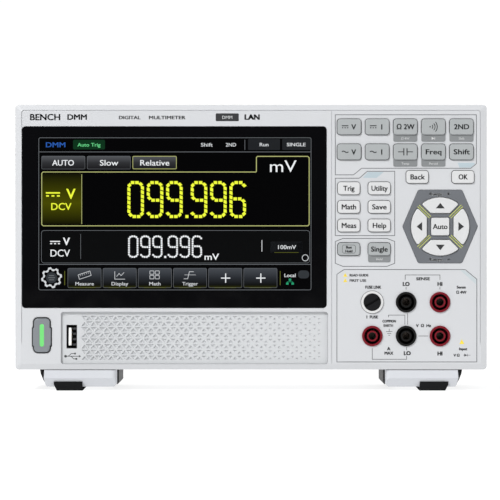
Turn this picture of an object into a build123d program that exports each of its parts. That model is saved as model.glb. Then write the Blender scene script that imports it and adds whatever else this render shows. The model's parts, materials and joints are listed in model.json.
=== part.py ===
"""Bench multimeter: slim desktop case with a 7 inch touch display, a keypad, front input terminals
and two fold-down front feet.

Frame: +X to the right of someone facing the display, the front faces -Y, +Z up.
The origin is on the bench, under the middle of the instrument. All sizes are in millimetres.
"""
from build123d import *
import math
import os

os.makedirs("parts", exist_ok=True)

# ---------------------------------------------------------------- case
CASE_W = 265.4          # width of the case
CASE_H = 149.0          # height of the case without its feet
CASE_Z0 = 12.0          # underside of the case above the bench
DEPTH = 77.75           # overall depth, key faces to back face
CORNER_R = 2.0          # corners of the front outline
WALL = 2.5              # moulded wall
FACE_T = 3.0            # front panel thickness
BEZEL_LEN = 22.0        # depth of the front moulding
REAR_R = 4.0            # rounded back edges
RIM_W = 3.2             # sloping rim round the front, across
RIM_T = 1.2             # sloping rim round the front, in depth
KEY_PROUD = 1.3         # key faces in front of the panel

FRONT_Y = -DEPTH / 2
PANEL_Y = FRONT_Y + KEY_PROUD       # front face of the panel
INNER_Y = PANEL_Y + FACE_T          # its inner face
SPLIT_Y = PANEL_Y + BEZEL_LEN       # joint between front moulding and rear cover
BACK_Y = DEPTH / 2
CASE_ZC = CASE_Z0 + CASE_H / 2
CASE_TOP = CASE_Z0 + CASE_H

# ---------------------------------------------------------------- display
GLASS_W, GLASS_H, GLASS_T = 171.4, 102.1, 1.8
GLASS_X, GLASS_Z = -43.2, 97.75     # centre of the cover glass
GLASS_GAP = 0.15
WINDOW_W, WINDOW_H = 160.0, 91.0    # opening behind the glass
LCD_W, LCD_H, LCD_T = 164.9, 96.0, 3.5              # outline of a 7 inch panel
LIGHT_BOX_W, LIGHT_BOX_H, LIGHT_BOX_T = 156.0, 88.0, 2.2
DRIVER_W, DRIVER_H, DRIVER_T = 60.0, 22.0, 2.0
DRIVER_DROP = 20.0                  # driver board below the panel's centre

# ---------------------------------------------------------------- keys
KEY_GAP = 0.3           # clearance round every key
KEY_TRAVEL = 1.0
FLANGE_M = 0.8          # retaining flange, wider than the key by this much
FLANGE_T = 1.2
FLANGE_Y = INNER_Y + 0.05           # front face of the flanges
STEM_R = 1.7
BOARD_GAP = 8.0         # inner face of the panel to the key board
SWITCH_H = 3.5          # push switch body
PLUNGER_H = 0.8
SWITCH_SIDE = 6.0
PLUNGER_R = 1.6
PCB_T = 1.6
POST_R = 1.5            # moulded posts that hold the key boards
KEY_BOARD_X, KEY_BOARD_Z, KEY_BOARD_W, KEY_BOARD_H = 86.5, 112.2, 80.0, 82.4
POWER_BOARD_W, POWER_BOARD_H = 13.0, 30.0
POWER_POST = 13.0       # posts above and below the power button's centre
KEY_POSTS = ((63.1, 141.55), (110.5, 141.55), (63.6, 86.4), (123.5, 76.0))
KEY_BOARD_Y = INNER_Y + BOARD_GAP
STEM_END_Y = KEY_BOARD_Y - SWITCH_H - PLUNGER_H - KEY_TRAVEL - 0.1

FUNC_W, FUNC_H = 13.3, 8.8          # grey measuring-function keys, two rows of five
FUNC_X0, FUNC_PITCH = 55.2, 15.8
FUNC_ROWS = (148.6, 134.5)
MENU_W, MENU_H = 12.4, 7.0          # white menu keys, two columns
MENU_COLS = (55.0, 72.15)
MENU_Z0, MENU_PITCH = 114.0, 10.45
RUN_Z = 79.8
CONFIRM_Z = 120.4                   # back and ok keys
BACK_X, OK_X = 93.5, 119.2

FUNCTION_KEYS = (
    ("key_dc_volts", "key_dc_current", "key_ohms", "key_continuity", "key_second"),
    ("key_ac_volts", "key_ac_current", "key_capacitance", "key_frequency", "key_shift"),
)
MENU_KEYS = (
    ("key_trigger", "key_utility"),
    ("key_math", "key_save"),
    ("key_measure", "key_help"),
)

# ---------------------------------------------------------------- navigation pad
NAV_X, NAV_Z = 106.4, 92.5
NAV_HALF_W, NAV_HALF_H, NAV_FLAT = 21.2, 20.65, 12.35
NAV_PLATE_T, NAV_POCKET = 1.8, 1.5
NAV_LEDGE = 2.0
RING_R = 16.4           # outer radius of the ring of arrow keys
ARROW_IN = 7.5          # inner edge of an arrow key from the centre
ARROW_HALF = 5.35       # half width of that edge
AUTO_W, AUTO_H = 10.2, 10.0
ARROW_STEM = 11.3       # stem of an arrow key from the centre

# ---------------------------------------------------------------- terminals
PITCH = 19.05           # standard spacing of 4 mm sockets
SOCKET_X0, SOCKET_Z0 = 68.2, 30.9   # lower left socket
RED_AT = ((0, 0), (2, 0), (2, 1))
BLACK_AT = ((1, 0), (1, 1))
FUSE_AT = (0, 1)
RIM_R, BARREL_R = 5.8, 5.0
GROOVE_IN, GROOVE_OUT, GROOVE_LEN = 3.05, 4.55, 15.0
LIP_R, LIP_LEN = 2.2, 1.6
CONTACT_R, CONTACT_WALL_R, CONTACT_LEN, CONTACT_BORE = 2.0, 2.4, 18.4, 17.0
SOCKET_LEN = 23.0
NUT_R, NUT_T = 7.0, 3.0
TAIL_R = 1.0
RIM_PROUD = 0.9
FIT_GAP = 0.1           # clearance of a barrel or a wire in its hole
INPUT_BOARD_Y = PANEL_Y + 27.0
FUSE_RIM_R, FUSE_BODY_R, FUSE_BORE_R, FUSE_CAP_R = 6.3, 5.85, 4.95, 4.85
FUSE_R, FUSE_LEN = 2.6, 20.0        # 5 by 20 mm glass fuse
FUSE_BORE_LEN = 24.0
CAP_PROUD, CAP_IN, CAP_SLOT = 1.2, 6.0, 1.3
SLOT_TURN = 30.0
INPUT_W, INPUT_H = 70.0, 50.0
INPUT_X, INPUT_Z = 87.25, 41.0
RELAY_W, RELAY_H, RELAY_T = 7.4, 15.0, 9.0
SHIELD_IN, SHIELD_LEN, SHEET_T = 1.0, 12.0, 0.6

# ---------------------------------------------------------------- lower left
POWER_X, POWER_Z = -117.7, 31.3
POWER_HALF_W, POWER_HALF_H = 4.4, 9.5
POWER_CORNER = 2.2
POWER_GRIP, POWER_GRIP_H = 0.7, 4.6     # wider middle: how far it stands out, half its height
POWER_GRIP_DROP = 0.9                   # its centre below the button's centre
POWER_GAP = 0.5
POWER_BEVEL, POWER_BEVEL_T = 0.5, 0.4
LIGHT_W, LIGHT_H, LIGHT_T, LIGHT_PROUD = 2.4, 12.8, 1.4, 0.05
POWER_POSTS = ((POWER_X, POWER_Z - POWER_POST), (POWER_X, POWER_Z + POWER_POST))
TRIM_X0, TRIM_X1, TRIM_Z0, TRIM_Z1 = -107.0, 43.2, 15.1, 44.4
TRIM_SUNK = 1.7         # face of the trim panel behind the front panel
TRIM_LIP, TRIM_LIP_T = 1.8, 1.0
USB_X, USB_Z = -101.05, 30.5
USB_IN_W, USB_IN_H, USB_SHELL, USB_LEN = 5.12, 12.5, 0.3, 14.0
TONGUE_T, TONGUE_W, TONGUE_IN = 1.84, 11.1, 1.2
SHELL_BACK = 1.5

# ---------------------------------------------------------------- back
BAY_X, BAY_Z0, BAY_Z1, BAY_LEN = 100.0, 17.0, 39.0, 17.0
BAY_FLOOR_Y = BACK_Y - BAY_LEN
BAY_ZC = (BAY_Z0 + BAY_Z1) / 2
VESA, VESA_Z = 100.0, 98.0          # screw pattern for a stand
INSERT_R, INSERT_BORE, INSERT_LEN = 3.0, 2.0, 9.0
SCREW_AT = ((-110.0, 156.2), (110.0, 156.2), (-127.0, 17.3), (127.0, 17.3))
BOSS_R, PILOT_R, WELL_R, TUBE_R = 2.7, 1.3, 3.2, 4.5
SCREW_HEAD_R, SCREW_HEAD_T, SCREW_LEN = 2.8, 2.0, 16.0
WELL_END_Y = SPLIT_Y + 6.0
PILOT_END = 6.0         # solid end of a screw boss
LAN_X, USB_B_X, INLET_X = 14.0, -14.0, -42.0
LAN_W, LAN_H = 16.0, 13.4
USB_B_W, USB_B_H = 12.0, 10.9
INLET_W, INLET_H = 9.4, 3.7
JACK_GAP = 0.2          # clearance round a jack in the floor of the bay
JACK_PROUD, JACK_LEN = 0.5, 16.0
BNC_AT = (46.0, 70.0)
BNC_R, BNC_NUT_R, BNC_NUT_T, BNC_LEN = 4.83, 7.2, 2.0, 11.5
BNC_SHELL_R, BNC_INNER_R, BNC_DEPTH = 4.1, 2.4, 8.5
LUG_R, LUG_TOP, LUG_LEN, LUG_BACK = 1.0, 5.9, 1.5, 4.5
GROUND_R, WASHER_R, WASHER_T, HEAD_R, HEAD_T = 2.0, 4.5, 0.8, 3.8, 2.6
GROUND_X = 90.0
VENT_X, VENT_Z, VENT_W, VENT_H, VENT_PITCH, VENT_COUNT = 88.0, 100.0, 52.0, 2.4, 6.0, 13

# ---------------------------------------------------------------- main board
MAIN_Y = BAY_FLOOR_Y + JACK_PROUD - JACK_LEN - PCB_T    # the jacks stand on its back
MAIN_X, MAIN_Z, MAIN_W, MAIN_H = -38.0, 99.0, 164.0, 98.0
JACK_STRIP_X, JACK_STRIP_Z, JACK_STRIP_W, JACK_STRIP_H = 12.0, 33.0, 136.0, 36.0
MAIN_POSTS = ((-116.0, 54.0), (-116.0, 144.0), (38.0, 54.0), (38.0, 144.0))
MAIN_POST_R = 3.0
CHIP_T = 2.4
CAPACITORS = ((-100.0, 75.0), (-100.0, 90.0), (-100.0, 105.0))
CAPACITOR_R, CAPACITOR_LEN = 5.0, 10.4

# ---------------------------------------------------------------- feet, right one; the left is its mirror
FOOT_IN, FOOT_OUT = 75.2, 120.1
FOOT_Y0, FOOT_Y1 = -22.0, 33.0
LEG_Y0, LEG_Y1 = -35.9, -24.0
LEG_IN, LEG_OUT = 76.0, 116.9
LEG_CORNER = 2.6        # rounding of its inner front corner
LEG_Z0, LEG_Z1 = 2.2, 11.7
LEG_BEVEL_Z, LEG_BEVEL_Y = 7.1, -32.9
HINGE_Y, HINGE_Z = 6.0, 6.6
HINGE_R, PIN_R = 3.1, 1.5
ARM_IN, ARM_OUT = 80.8, 113.6
REAR_PAD_T = 1.8


def facing(y, x=0.0, z=0.0, turn=0.0):
    """Upright plane at depth y, seen from the front: local x is +X, local y is +Z, normal is -Y."""
    swing = math.radians(turn)
    return Plane(origin=(x, y, z), x_dir=(math.cos(swing), 0, math.sin(swing)), z_dir=(0, -1, 0))


def side_plane(x):
    """Upright plane at x: local x is +Y, local y is +Z, normal is +X."""
    return Plane(origin=(x, 0, 0), x_dir=(0, 1, 0), z_dir=(1, 0, 0))


def save(part, name):
    part.label = name
    export_step(part, f"parts/{name}.step")


def socket_centre(col, row):
    return (SOCKET_X0 + col * PITCH, SOCKET_Z0 + row * PITCH)


def key_table():
    """Every rectangular key: name -> (x, z, width, height)."""
    keys = {}
    for row, names in enumerate(FUNCTION_KEYS):
        for col, name in enumerate(names):
            keys[name] = (FUNC_X0 + col * FUNC_PITCH, FUNC_ROWS[row], FUNC_W, FUNC_H)
    for row, names in enumerate(MENU_KEYS):
        for col, name in enumerate(names):
            keys[name] = (MENU_COLS[col], MENU_Z0 - row * MENU_PITCH, MENU_W, MENU_H)
    keys["key_run_hold"] = (MENU_COLS[0], RUN_Z, MENU_W, MENU_H)
    keys["key_single"] = (MENU_COLS[1], RUN_Z, MENU_W, MENU_H)
    keys["key_back"] = (BACK_X, CONFIRM_Z, MENU_W, MENU_H)
    keys["key_ok"] = (OK_X, CONFIRM_Z, MENU_W, MENU_H)
    return keys


ARROW_KEYS = {"key_up": 0.0, "key_left": 90.0, "key_down": 180.0, "key_right": 270.0}
KEYS = key_table()
KEY_CORNER = 1.6


def arrow_outline(grow=0.0):
    """Sector of the ring of arrow keys, pointing up from the pad's centre, grown by a margin."""
    half = (ARROW_HALF - ARROW_IN + math.sqrt(2 * RING_R**2 - (ARROW_HALF - ARROW_IN) ** 2)) / 2
    top = half - ARROW_HALF + ARROW_IN
    with BuildSketch() as outline:
        with BuildLine():
            Polyline((half, top), (ARROW_HALF, ARROW_IN), (-ARROW_HALF, ARROW_IN), (-half, top))
            ThreePointArc((-half, top), (0, RING_R), (half, top))
        make_face()
        fillet(outline.vertices(), 0.9)
        if grow:
            offset(amount=grow)
    return outline.sketch


def nav_outline(shrink=0.0):
    """Six-sided outline of the navigation pad, pulled in by a margin."""
    points = [
        (NAV_HALF_W, 0),
        (NAV_FLAT, NAV_HALF_H),
        (-NAV_FLAT, NAV_HALF_H),
        (-NAV_HALF_W, 0),
        (-NAV_FLAT, -NAV_HALF_H),
        (NAV_FLAT, -NAV_HALF_H),
    ]
    with BuildSketch() as outline:
        with BuildLine():
            Polyline(*points, close=True)
        make_face()
        fillet(outline.vertices(), 1.6)
        if shrink:
            offset(amount=-shrink, kind=Kind.INTERSECTION)
    return outline.sketch


def power_bar(grow):
    """Rounded bar round the power button, without its wider middle."""
    with BuildSketch() as bar:
        RectangleRounded(2 * (POWER_HALF_W + grow), 2 * (POWER_HALF_H + grow), POWER_CORNER + grow)
    return bar.sketch


def power_outline(grow=0.0):
    """Outline of the power button: a rounded bar with a wider middle."""
    narrow = POWER_HALF_W + grow
    wide = narrow + POWER_GRIP
    short = POWER_GRIP_H + grow
    tall = short + POWER_GRIP
    right = [(narrow, tall), (wide, short), (wide, -short), (narrow, -tall)]
    left = [(-x, -z) for x, z in right]
    with BuildSketch() as outline:
        add(power_bar(grow))
        with BuildLine():
            Polyline(*((x, z - POWER_GRIP_DROP) for x, z in right + left), close=True)
        make_face()
    return outline.sketch


# ================================================================ front moulding
with BuildPart() as front_bezel:
    with BuildSketch(facing(PANEL_Y + RIM_T, 0, CASE_ZC)):
        RectangleRounded(CASE_W, CASE_H, CORNER_R)
    extrude(amount=-(BEZEL_LEN - RIM_T))
    # sloping rim
    with BuildSketch(facing(PANEL_Y, 0, CASE_ZC)):
        RectangleRounded(CASE_W - 2 * RIM_W, CASE_H - 2 * RIM_W, 1.0)
    with BuildSketch(facing(PANEL_Y + RIM_T, 0, CASE_ZC)):
        RectangleRounded(CASE_W, CASE_H, CORNER_R)
    loft()
    # hollow behind the panel
    with BuildSketch(facing(SPLIT_Y, 0, CASE_ZC)):
        Rectangle(CASE_W - 2 * WALL, CASE_H - 2 * WALL)
    extrude(amount=BEZEL_LEN - FACE_T, mode=Mode.SUBTRACT)
    # screw bosses
    with BuildSketch(facing(SPLIT_Y)):
        with Locations(*SCREW_AT):
            Circle(BOSS_R)
    extrude(amount=BEZEL_LEN - FACE_T)
    with BuildSketch(facing(SPLIT_Y)):
        with Locations(*SCREW_AT):
            Circle(PILOT_R)
    extrude(amount=BEZEL_LEN - FACE_T - PILOT_END, mode=Mode.SUBTRACT)
    # posts of the key boards
    with BuildSketch(facing(KEY_BOARD_Y)):
        with Locations(*KEY_POSTS, *POWER_POSTS):
            Circle(POST_R)
    extrude(amount=BOARD_GAP)
    # seat and window of the display
    with BuildSketch(facing(PANEL_Y, GLASS_X, GLASS_Z)):
        RectangleRounded(GLASS_W + 2 * GLASS_GAP, GLASS_H + 2 * GLASS_GAP, 2.2)
    extrude(amount=-(GLASS_T + 0.1), mode=Mode.SUBTRACT)
    with BuildSketch(facing(PANEL_Y, GLASS_X, GLASS_Z)):
        Rectangle(WINDOW_W, WINDOW_H)
    extrude(amount=-FACE_T, mode=Mode.SUBTRACT)
    # openings of the rectangular keys
    with BuildSketch(facing(PANEL_Y)):
        for key_x, key_z, key_w, key_h in KEYS.values():
            with Locations((key_x, key_z)):
                RectangleRounded(key_w + 2 * KEY_GAP, key_h + 2 * KEY_GAP, KEY_CORNER + KEY_GAP)
    extrude(amount=-FACE_T, mode=Mode.SUBTRACT)
    # seat and opening of the navigation pad
    with BuildSketch(facing(PANEL_Y, NAV_X, NAV_Z)):
        add(nav_outline(-0.1))
    extrude(amount=-NAV_POCKET, mode=Mode.SUBTRACT)
    with BuildSketch(facing(PANEL_Y, NAV_X, NAV_Z)):
        add(nav_outline(NAV_LEDGE))
    extrude(amount=-FACE_T, mode=Mode.SUBTRACT)
    # holes of the sockets and of the fuse holder
    with BuildSketch(facing(PANEL_Y)):
        with Locations(*[socket_centre(*at) for at in RED_AT + BLACK_AT]):
            Circle(BARREL_R + FIT_GAP)
        with Locations(socket_centre(*FUSE_AT)):
            Circle(FUSE_BODY_R + FIT_GAP)
    extrude(amount=-FACE_T, mode=Mode.SUBTRACT)
    # opening of the power button, with its bevelled surround
    with BuildSketch(facing(PANEL_Y, POWER_X, POWER_Z)):
        add(power_outline(POWER_GAP))
    extrude(amount=-FACE_T, mode=Mode.SUBTRACT)
    with BuildSketch(facing(PANEL_Y, POWER_X, POWER_Z)) as bevel_mouth:
        add(power_bar(POWER_GAP + POWER_BEVEL))
    with BuildSketch(facing(PANEL_Y + POWER_BEVEL_T, POWER_X, POWER_Z)) as bevel_root:
        add(power_bar(POWER_GAP))
    loft(mode=Mode.SUBTRACT)
    # opening of the trim panel
    trim_w, trim_h = TRIM_X1 - TRIM_X0, TRIM_Z1 - TRIM_Z0
    trim_xc, trim_zc = (TRIM_X0 + TRIM_X1) / 2, (TRIM_Z0 + TRIM_Z1) / 2
    with BuildSketch(facing(PANEL_Y, trim_xc, trim_zc)):
        RectangleRounded(trim_w, trim_h, 1.6)
    extrude(amount=-FACE_T, mode=Mode.SUBTRACT)
    # fine grooves: along the rim, and between the display side and the key side
    with BuildSketch(facing(PANEL_Y, 0, CASE_ZC)):
        RectangleRounded(CASE_W - 7.0, CASE_H - 6.0, 1.4)
        RectangleRounded(CASE_W - 7.6, CASE_H - 6.6, 1.1, mode=Mode.SUBTRACT)
        with Locations((0, -CASE_H / 2)):
            Rectangle(CASE_W, 30.0, mode=Mode.SUBTRACT)
    extrude(amount=-0.3, mode=Mode.SUBTRACT)
    with BuildSketch(facing(PANEL_Y, 45.4, CASE_ZC)):
        Rectangle(0.5, CASE_H - 7.0)
    extrude(amount=-0.25, mode=Mode.SUBTRACT)
save(front_bezel.part, "front_bezel")

# ================================================================ rear cover
with BuildPart() as rear_cover:
    with BuildSketch(facing(SPLIT_Y, 0, CASE_ZC)):
        RectangleRounded(CASE_W, CASE_H, CORNER_R)
    extrude(amount=-(BACK_Y - SPLIT_Y))
    fillet(rear_cover.faces().sort_by(Axis.Y)[-1].edges(), REAR_R)
    with BuildSketch(facing(SPLIT_Y, 0, CASE_ZC)):
        Rectangle(CASE_W - 2 * WALL, CASE_H - 2 * WALL)
    extrude(amount=-(BACK_Y - WALL - SPLIT_Y), mode=Mode.SUBTRACT)
    # shadow line where the two mouldings meet
    with BuildSketch(facing(SPLIT_Y, 0, CASE_ZC)):
        RectangleRounded(CASE_W + 2, CASE_H + 2, CORNER_R)
        RectangleRounded(CASE_W - 1.0, CASE_H - 1.0, CORNER_R - 0.5, mode=Mode.SUBTRACT)
    extrude(amount=-0.6, mode=Mode.SUBTRACT)
    # connector bay
    with BuildSketch(facing(BAY_FLOOR_Y - WALL, 0, BAY_ZC)):
        Rectangle(2 * BAY_X + 2 * WALL, BAY_Z1 - BAY_Z0 + 2 * WALL)
    extrude(amount=-(BACK_Y - 1.0 - BAY_FLOOR_Y + WALL))
    with BuildSketch(facing(BACK_Y, 0, BAY_ZC)):
        RectangleRounded(2 * BAY_X, BAY_Z1 - BAY_Z0, 2.5)
    extrude(amount=BAY_LEN, mode=Mode.SUBTRACT)
    # holes in the floor of the bay
    with BuildSketch(facing(BAY_FLOOR_Y)):
        with Locations((LAN_X, BAY_ZC)):
            Rectangle(LAN_W + 2 * JACK_GAP, LAN_H + 2 * JACK_GAP)
        with Locations((USB_B_X, BAY_ZC)):
            Rectangle(USB_B_W + 2 * JACK_GAP, USB_B_H + 2 * JACK_GAP)
        with Locations((INLET_X, BAY_ZC)):
            SlotOverall(INLET_W + JACK_GAP, INLET_H + JACK_GAP)
        with Locations(*[(x, BAY_ZC) for x in BNC_AT]):
            Circle(BNC_R + 0.07)
        with Locations((GROUND_X, BAY_ZC)):
            Circle(GROUND_R + 0.05)
    extrude(amount=WALL, mode=Mode.SUBTRACT)
    # screw tubes with their wells
    with BuildSketch(facing(BACK_Y - REAR_R)):
        with Locations(*SCREW_AT):
            Circle(TUBE_R)
    extrude(amount=BACK_Y - REAR_R - SPLIT_Y)
    with BuildSketch(facing(BACK_Y)):
        with Locations(*SCREW_AT):
            Circle(WELL_R)
    extrude(amount=BACK_Y - WELL_END_Y, mode=Mode.SUBTRACT)
    with BuildSketch(facing(WELL_END_Y)):
        with Locations(*SCREW_AT):
            Circle(PILOT_R + 0.2)
    extrude(amount=WELL_END_Y - SPLIT_Y, mode=Mode.SUBTRACT)
    # bosses for the stand's threaded inserts
    with BuildSketch(facing(BACK_Y - WALL, 0, VESA_Z)):
        with GridLocations(VESA, VESA, 2, 2):
            Circle(INSERT_R + 2.0)
    extrude(amount=INSERT_LEN + 1.5)
    with BuildSketch(facing(BACK_Y, 0, VESA_Z)):
        with GridLocations(VESA, VESA, 2, 2):
            Circle(INSERT_R)
    extrude(amount=INSERT_LEN, mode=Mode.SUBTRACT)
    # posts of the main board
    with BuildSketch(facing(MAIN_Y + PCB_T)):
        with Locations(*MAIN_POSTS):
            Circle(MAIN_POST_R)
    extrude(amount=-(BACK_Y - WALL - MAIN_Y - PCB_T))
    # ventilation slots
    for vent_x in (-VENT_X, VENT_X):
        with BuildSketch(facing(BACK_Y, vent_x, VENT_Z)):
            with GridLocations(1, VENT_PITCH, 1, VENT_COUNT):
                SlotOverall(VENT_W, VENT_H)
        extrude(amount=WALL, mode=Mode.SUBTRACT)
save(rear_cover.part, "rear_cover")

# ================================================================ display
with BuildPart() as screen_glass:
    with BuildSketch(facing(PANEL_Y, GLASS_X, GLASS_Z)):
        RectangleRounded(GLASS_W, GLASS_H, 2.0)
    extrude(amount=-GLASS_T)
    chamfer(screen_glass.faces().sort_by(Axis.Y)[0].edges(), 0.3)
save(screen_glass.part, "screen_glass")

LCD_Y = INNER_Y + 0.1
with BuildPart() as lcd_module:
    with BuildSketch(facing(LCD_Y, GLASS_X, GLASS_Z)):
        Rectangle(LCD_W, LCD_H)
    extrude(amount=-LCD_T)
    with BuildSketch(facing(LCD_Y + LCD_T, GLASS_X, GLASS_Z)):
        RectangleRounded(LIGHT_BOX_W, LIGHT_BOX_H, 2.0)
    extrude(amount=-LIGHT_BOX_T)
    with BuildSketch(facing(LCD_Y + LCD_T + LIGHT_BOX_T, GLASS_X, GLASS_Z - DRIVER_DROP)):
        Rectangle(DRIVER_W, DRIVER_H)
    extrude(amount=-DRIVER_T)
save(lcd_module.part, "lcd_module")

# ================================================================ trim panel with the front USB opening
USB_OUT_W, USB_OUT_H = USB_IN_W + 2 * USB_SHELL, USB_IN_H + 2 * USB_SHELL
with BuildPart() as texture_panel:
    with BuildSketch(facing(PANEL_Y + TRIM_SUNK, trim_xc, trim_zc)):
        RectangleRounded(trim_w - 0.2, trim_h - 0.2, 1.5)
    extrude(amount=-(FACE_T - TRIM_SUNK))
    with BuildSketch(facing(INNER_Y, trim_xc, trim_zc + 0.4)):
        Rectangle(trim_w + 2 * TRIM_LIP, trim_h + 0.6)
    extrude(amount=-TRIM_LIP_T)
    with BuildSketch(facing(PANEL_Y + TRIM_SUNK, USB_X, USB_Z)):
        Rectangle(USB_OUT_W + 0.2, USB_OUT_H + 0.2)
    extrude(amount=-5, mode=Mode.SUBTRACT)
save(texture_panel.part, "texture_panel")

with BuildPart() as front_usb_socket:
    with BuildSketch(facing(PANEL_Y + TRIM_SUNK, USB_X, USB_Z)):
        Rectangle(USB_OUT_W, USB_OUT_H)
    extrude(amount=-USB_LEN)
    with BuildSketch(facing(PANEL_Y + TRIM_SUNK, USB_X, USB_Z)):
        Rectangle(USB_IN_W, USB_IN_H)
    extrude(amount=-(USB_LEN - SHELL_BACK), mode=Mode.SUBTRACT)
    with BuildSketch(facing(PANEL_Y + TRIM_SUNK + TONGUE_IN, USB_X - 1.15, USB_Z)):
        Rectangle(TONGUE_T, TONGUE_W)
    extrude(amount=-(USB_LEN - TONGUE_IN))
save(front_usb_socket.part, "front_usb_socket")

# ================================================================ navigation plate
with BuildPart() as nav_plate:
    with BuildSketch(facing(PANEL_Y - (NAV_PLATE_T - NAV_POCKET), NAV_X, NAV_Z)):
        add(nav_outline())
    extrude(amount=-NAV_PLATE_T)
    chamfer(nav_plate.faces().sort_by(Axis.Y)[0].edges(), 0.25)
    for arrow_turn in ARROW_KEYS.values():
        with BuildSketch(facing(FRONT_Y, NAV_X, NAV_Z, arrow_turn)):
            add(arrow_outline(KEY_GAP))
        extrude(amount=-5, mode=Mode.SUBTRACT)
    with BuildSketch(facing(FRONT_Y, NAV_X, NAV_Z)):
        RectangleRounded(AUTO_W + 2 * KEY_GAP, AUTO_H + 2 * KEY_GAP, 1.3)
    extrude(amount=-5, mode=Mode.SUBTRACT)
save(nav_plate.part, "nav_plate")


# ================================================================ keys
def soften(part, radius):
    """Round the front edges of the key being built."""
    fillet(part.faces().sort_by(Axis.Y)[0].edges(), radius)


def make_key(name, x, z, w, h, corner=KEY_CORNER, flange_y=FLANGE_Y):
    with BuildPart() as key:
        with BuildSketch(facing(FRONT_Y, x, z)):
            RectangleRounded(w, h, corner)
        extrude(amount=-(flange_y - FRONT_Y))
        soften(key, 0.45)
        with BuildSketch(facing(flange_y, x, z)):
            RectangleRounded(w + 2 * FLANGE_M, h + 2 * FLANGE_M, corner)
        extrude(amount=-FLANGE_T)
        with BuildSketch(facing(flange_y + FLANGE_T, x, z)):
            Circle(STEM_R)
        extrude(amount=-(STEM_END_Y - flange_y - FLANGE_T))
    save(key.part, name)


def make_arrow_key(name, turn, flange_y):
    with BuildPart() as key:
        with BuildSketch(facing(FRONT_Y, NAV_X, NAV_Z, turn)):
            add(arrow_outline())
        extrude(amount=-(flange_y - FRONT_Y))
        soften(key, 0.5)
        with BuildSketch(facing(flange_y, NAV_X, NAV_Z, turn)):
            add(arrow_outline(FLANGE_M))
        extrude(amount=-FLANGE_T)
        with BuildSketch(facing(flange_y + FLANGE_T, NAV_X, NAV_Z, turn)):
            with Locations((0, ARROW_STEM)):
                Circle(STEM_R)
        extrude(amount=-(STEM_END_Y - flange_y - FLANGE_T))
    save(key.part, name)


for key_name, (key_x, key_z, key_w, key_h) in KEYS.items():
    make_key(key_name, key_x, key_z, key_w, key_h)

NAV_FLANGE_Y = PANEL_Y + NAV_POCKET + 0.1
make_key("key_auto", NAV_X, NAV_Z, AUTO_W, AUTO_H, 1.0, NAV_FLANGE_Y)
for key_name, arrow_turn in ARROW_KEYS.items():
    make_arrow_key(key_name, arrow_turn, NAV_FLANGE_Y)

# ---------------------------------------------------------------- power button and its light
BUTTON_Y = FRONT_Y + 0.3
with BuildPart() as power_button:
    with BuildSketch(facing(BUTTON_Y, POWER_X, POWER_Z)):
        add(power_outline())
    extrude(amount=-(FLANGE_Y - BUTTON_Y))
    soften(power_button, 0.6)
    with BuildSketch(facing(FLANGE_Y, POWER_X, POWER_Z)):
        add(power_outline(FLANGE_M))
    extrude(amount=-FLANGE_T)
    with BuildSketch(facing(FLANGE_Y + FLANGE_T, POWER_X, POWER_Z)):
        Circle(STEM_R)
    extrude(amount=-(STEM_END_Y - FLANGE_Y - FLANGE_T))
    with BuildSketch(facing(BUTTON_Y, POWER_X, POWER_Z)):
        SlotOverall(LIGHT_H, LIGHT_W, rotation=90)
    extrude(amount=-LIGHT_T, mode=Mode.SUBTRACT)
save(power_button.part, "power_button")

with BuildPart() as power_light:
    with BuildSketch(facing(BUTTON_Y - LIGHT_PROUD, POWER_X, POWER_Z)):
        SlotOverall(LIGHT_H - 0.1, LIGHT_W - 0.1, rotation=90)
    extrude(amount=-(LIGHT_T + LIGHT_PROUD))
save(power_light.part, "power_light")

# ================================================================ key board and its push switches
STEMS = [place[:2] for place in KEYS.values()]
STEMS.append((NAV_X, NAV_Z))
for arrow_turn in ARROW_KEYS.values():
    swing = math.radians(arrow_turn)
    STEMS.append((NAV_X - ARROW_STEM * math.sin(swing), NAV_Z + ARROW_STEM * math.cos(swing)))
STEMS.append((POWER_X, POWER_Z))

with BuildPart() as key_board:
    with BuildSketch(facing(KEY_BOARD_Y)):
        with Locations((KEY_BOARD_X, KEY_BOARD_Z)):
            Rectangle(KEY_BOARD_W, KEY_BOARD_H)
        with Locations((POWER_X, POWER_Z)):
            Rectangle(POWER_BOARD_W, POWER_BOARD_H)
    extrude(amount=-PCB_T)
save(key_board.part, "key_board")

with BuildPart() as tact_switches:
    with BuildSketch(facing(KEY_BOARD_Y)):
        with Locations(*STEMS):
            Rectangle(SWITCH_SIDE, SWITCH_SIDE)
    extrude(amount=SWITCH_H)
    with BuildSketch(facing(KEY_BOARD_Y - SWITCH_H)):
        with Locations(*STEMS):
            Circle(PLUNGER_R)
    extrude(amount=PLUNGER_H)
save(tact_switches.part, "tact_switches")


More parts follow.
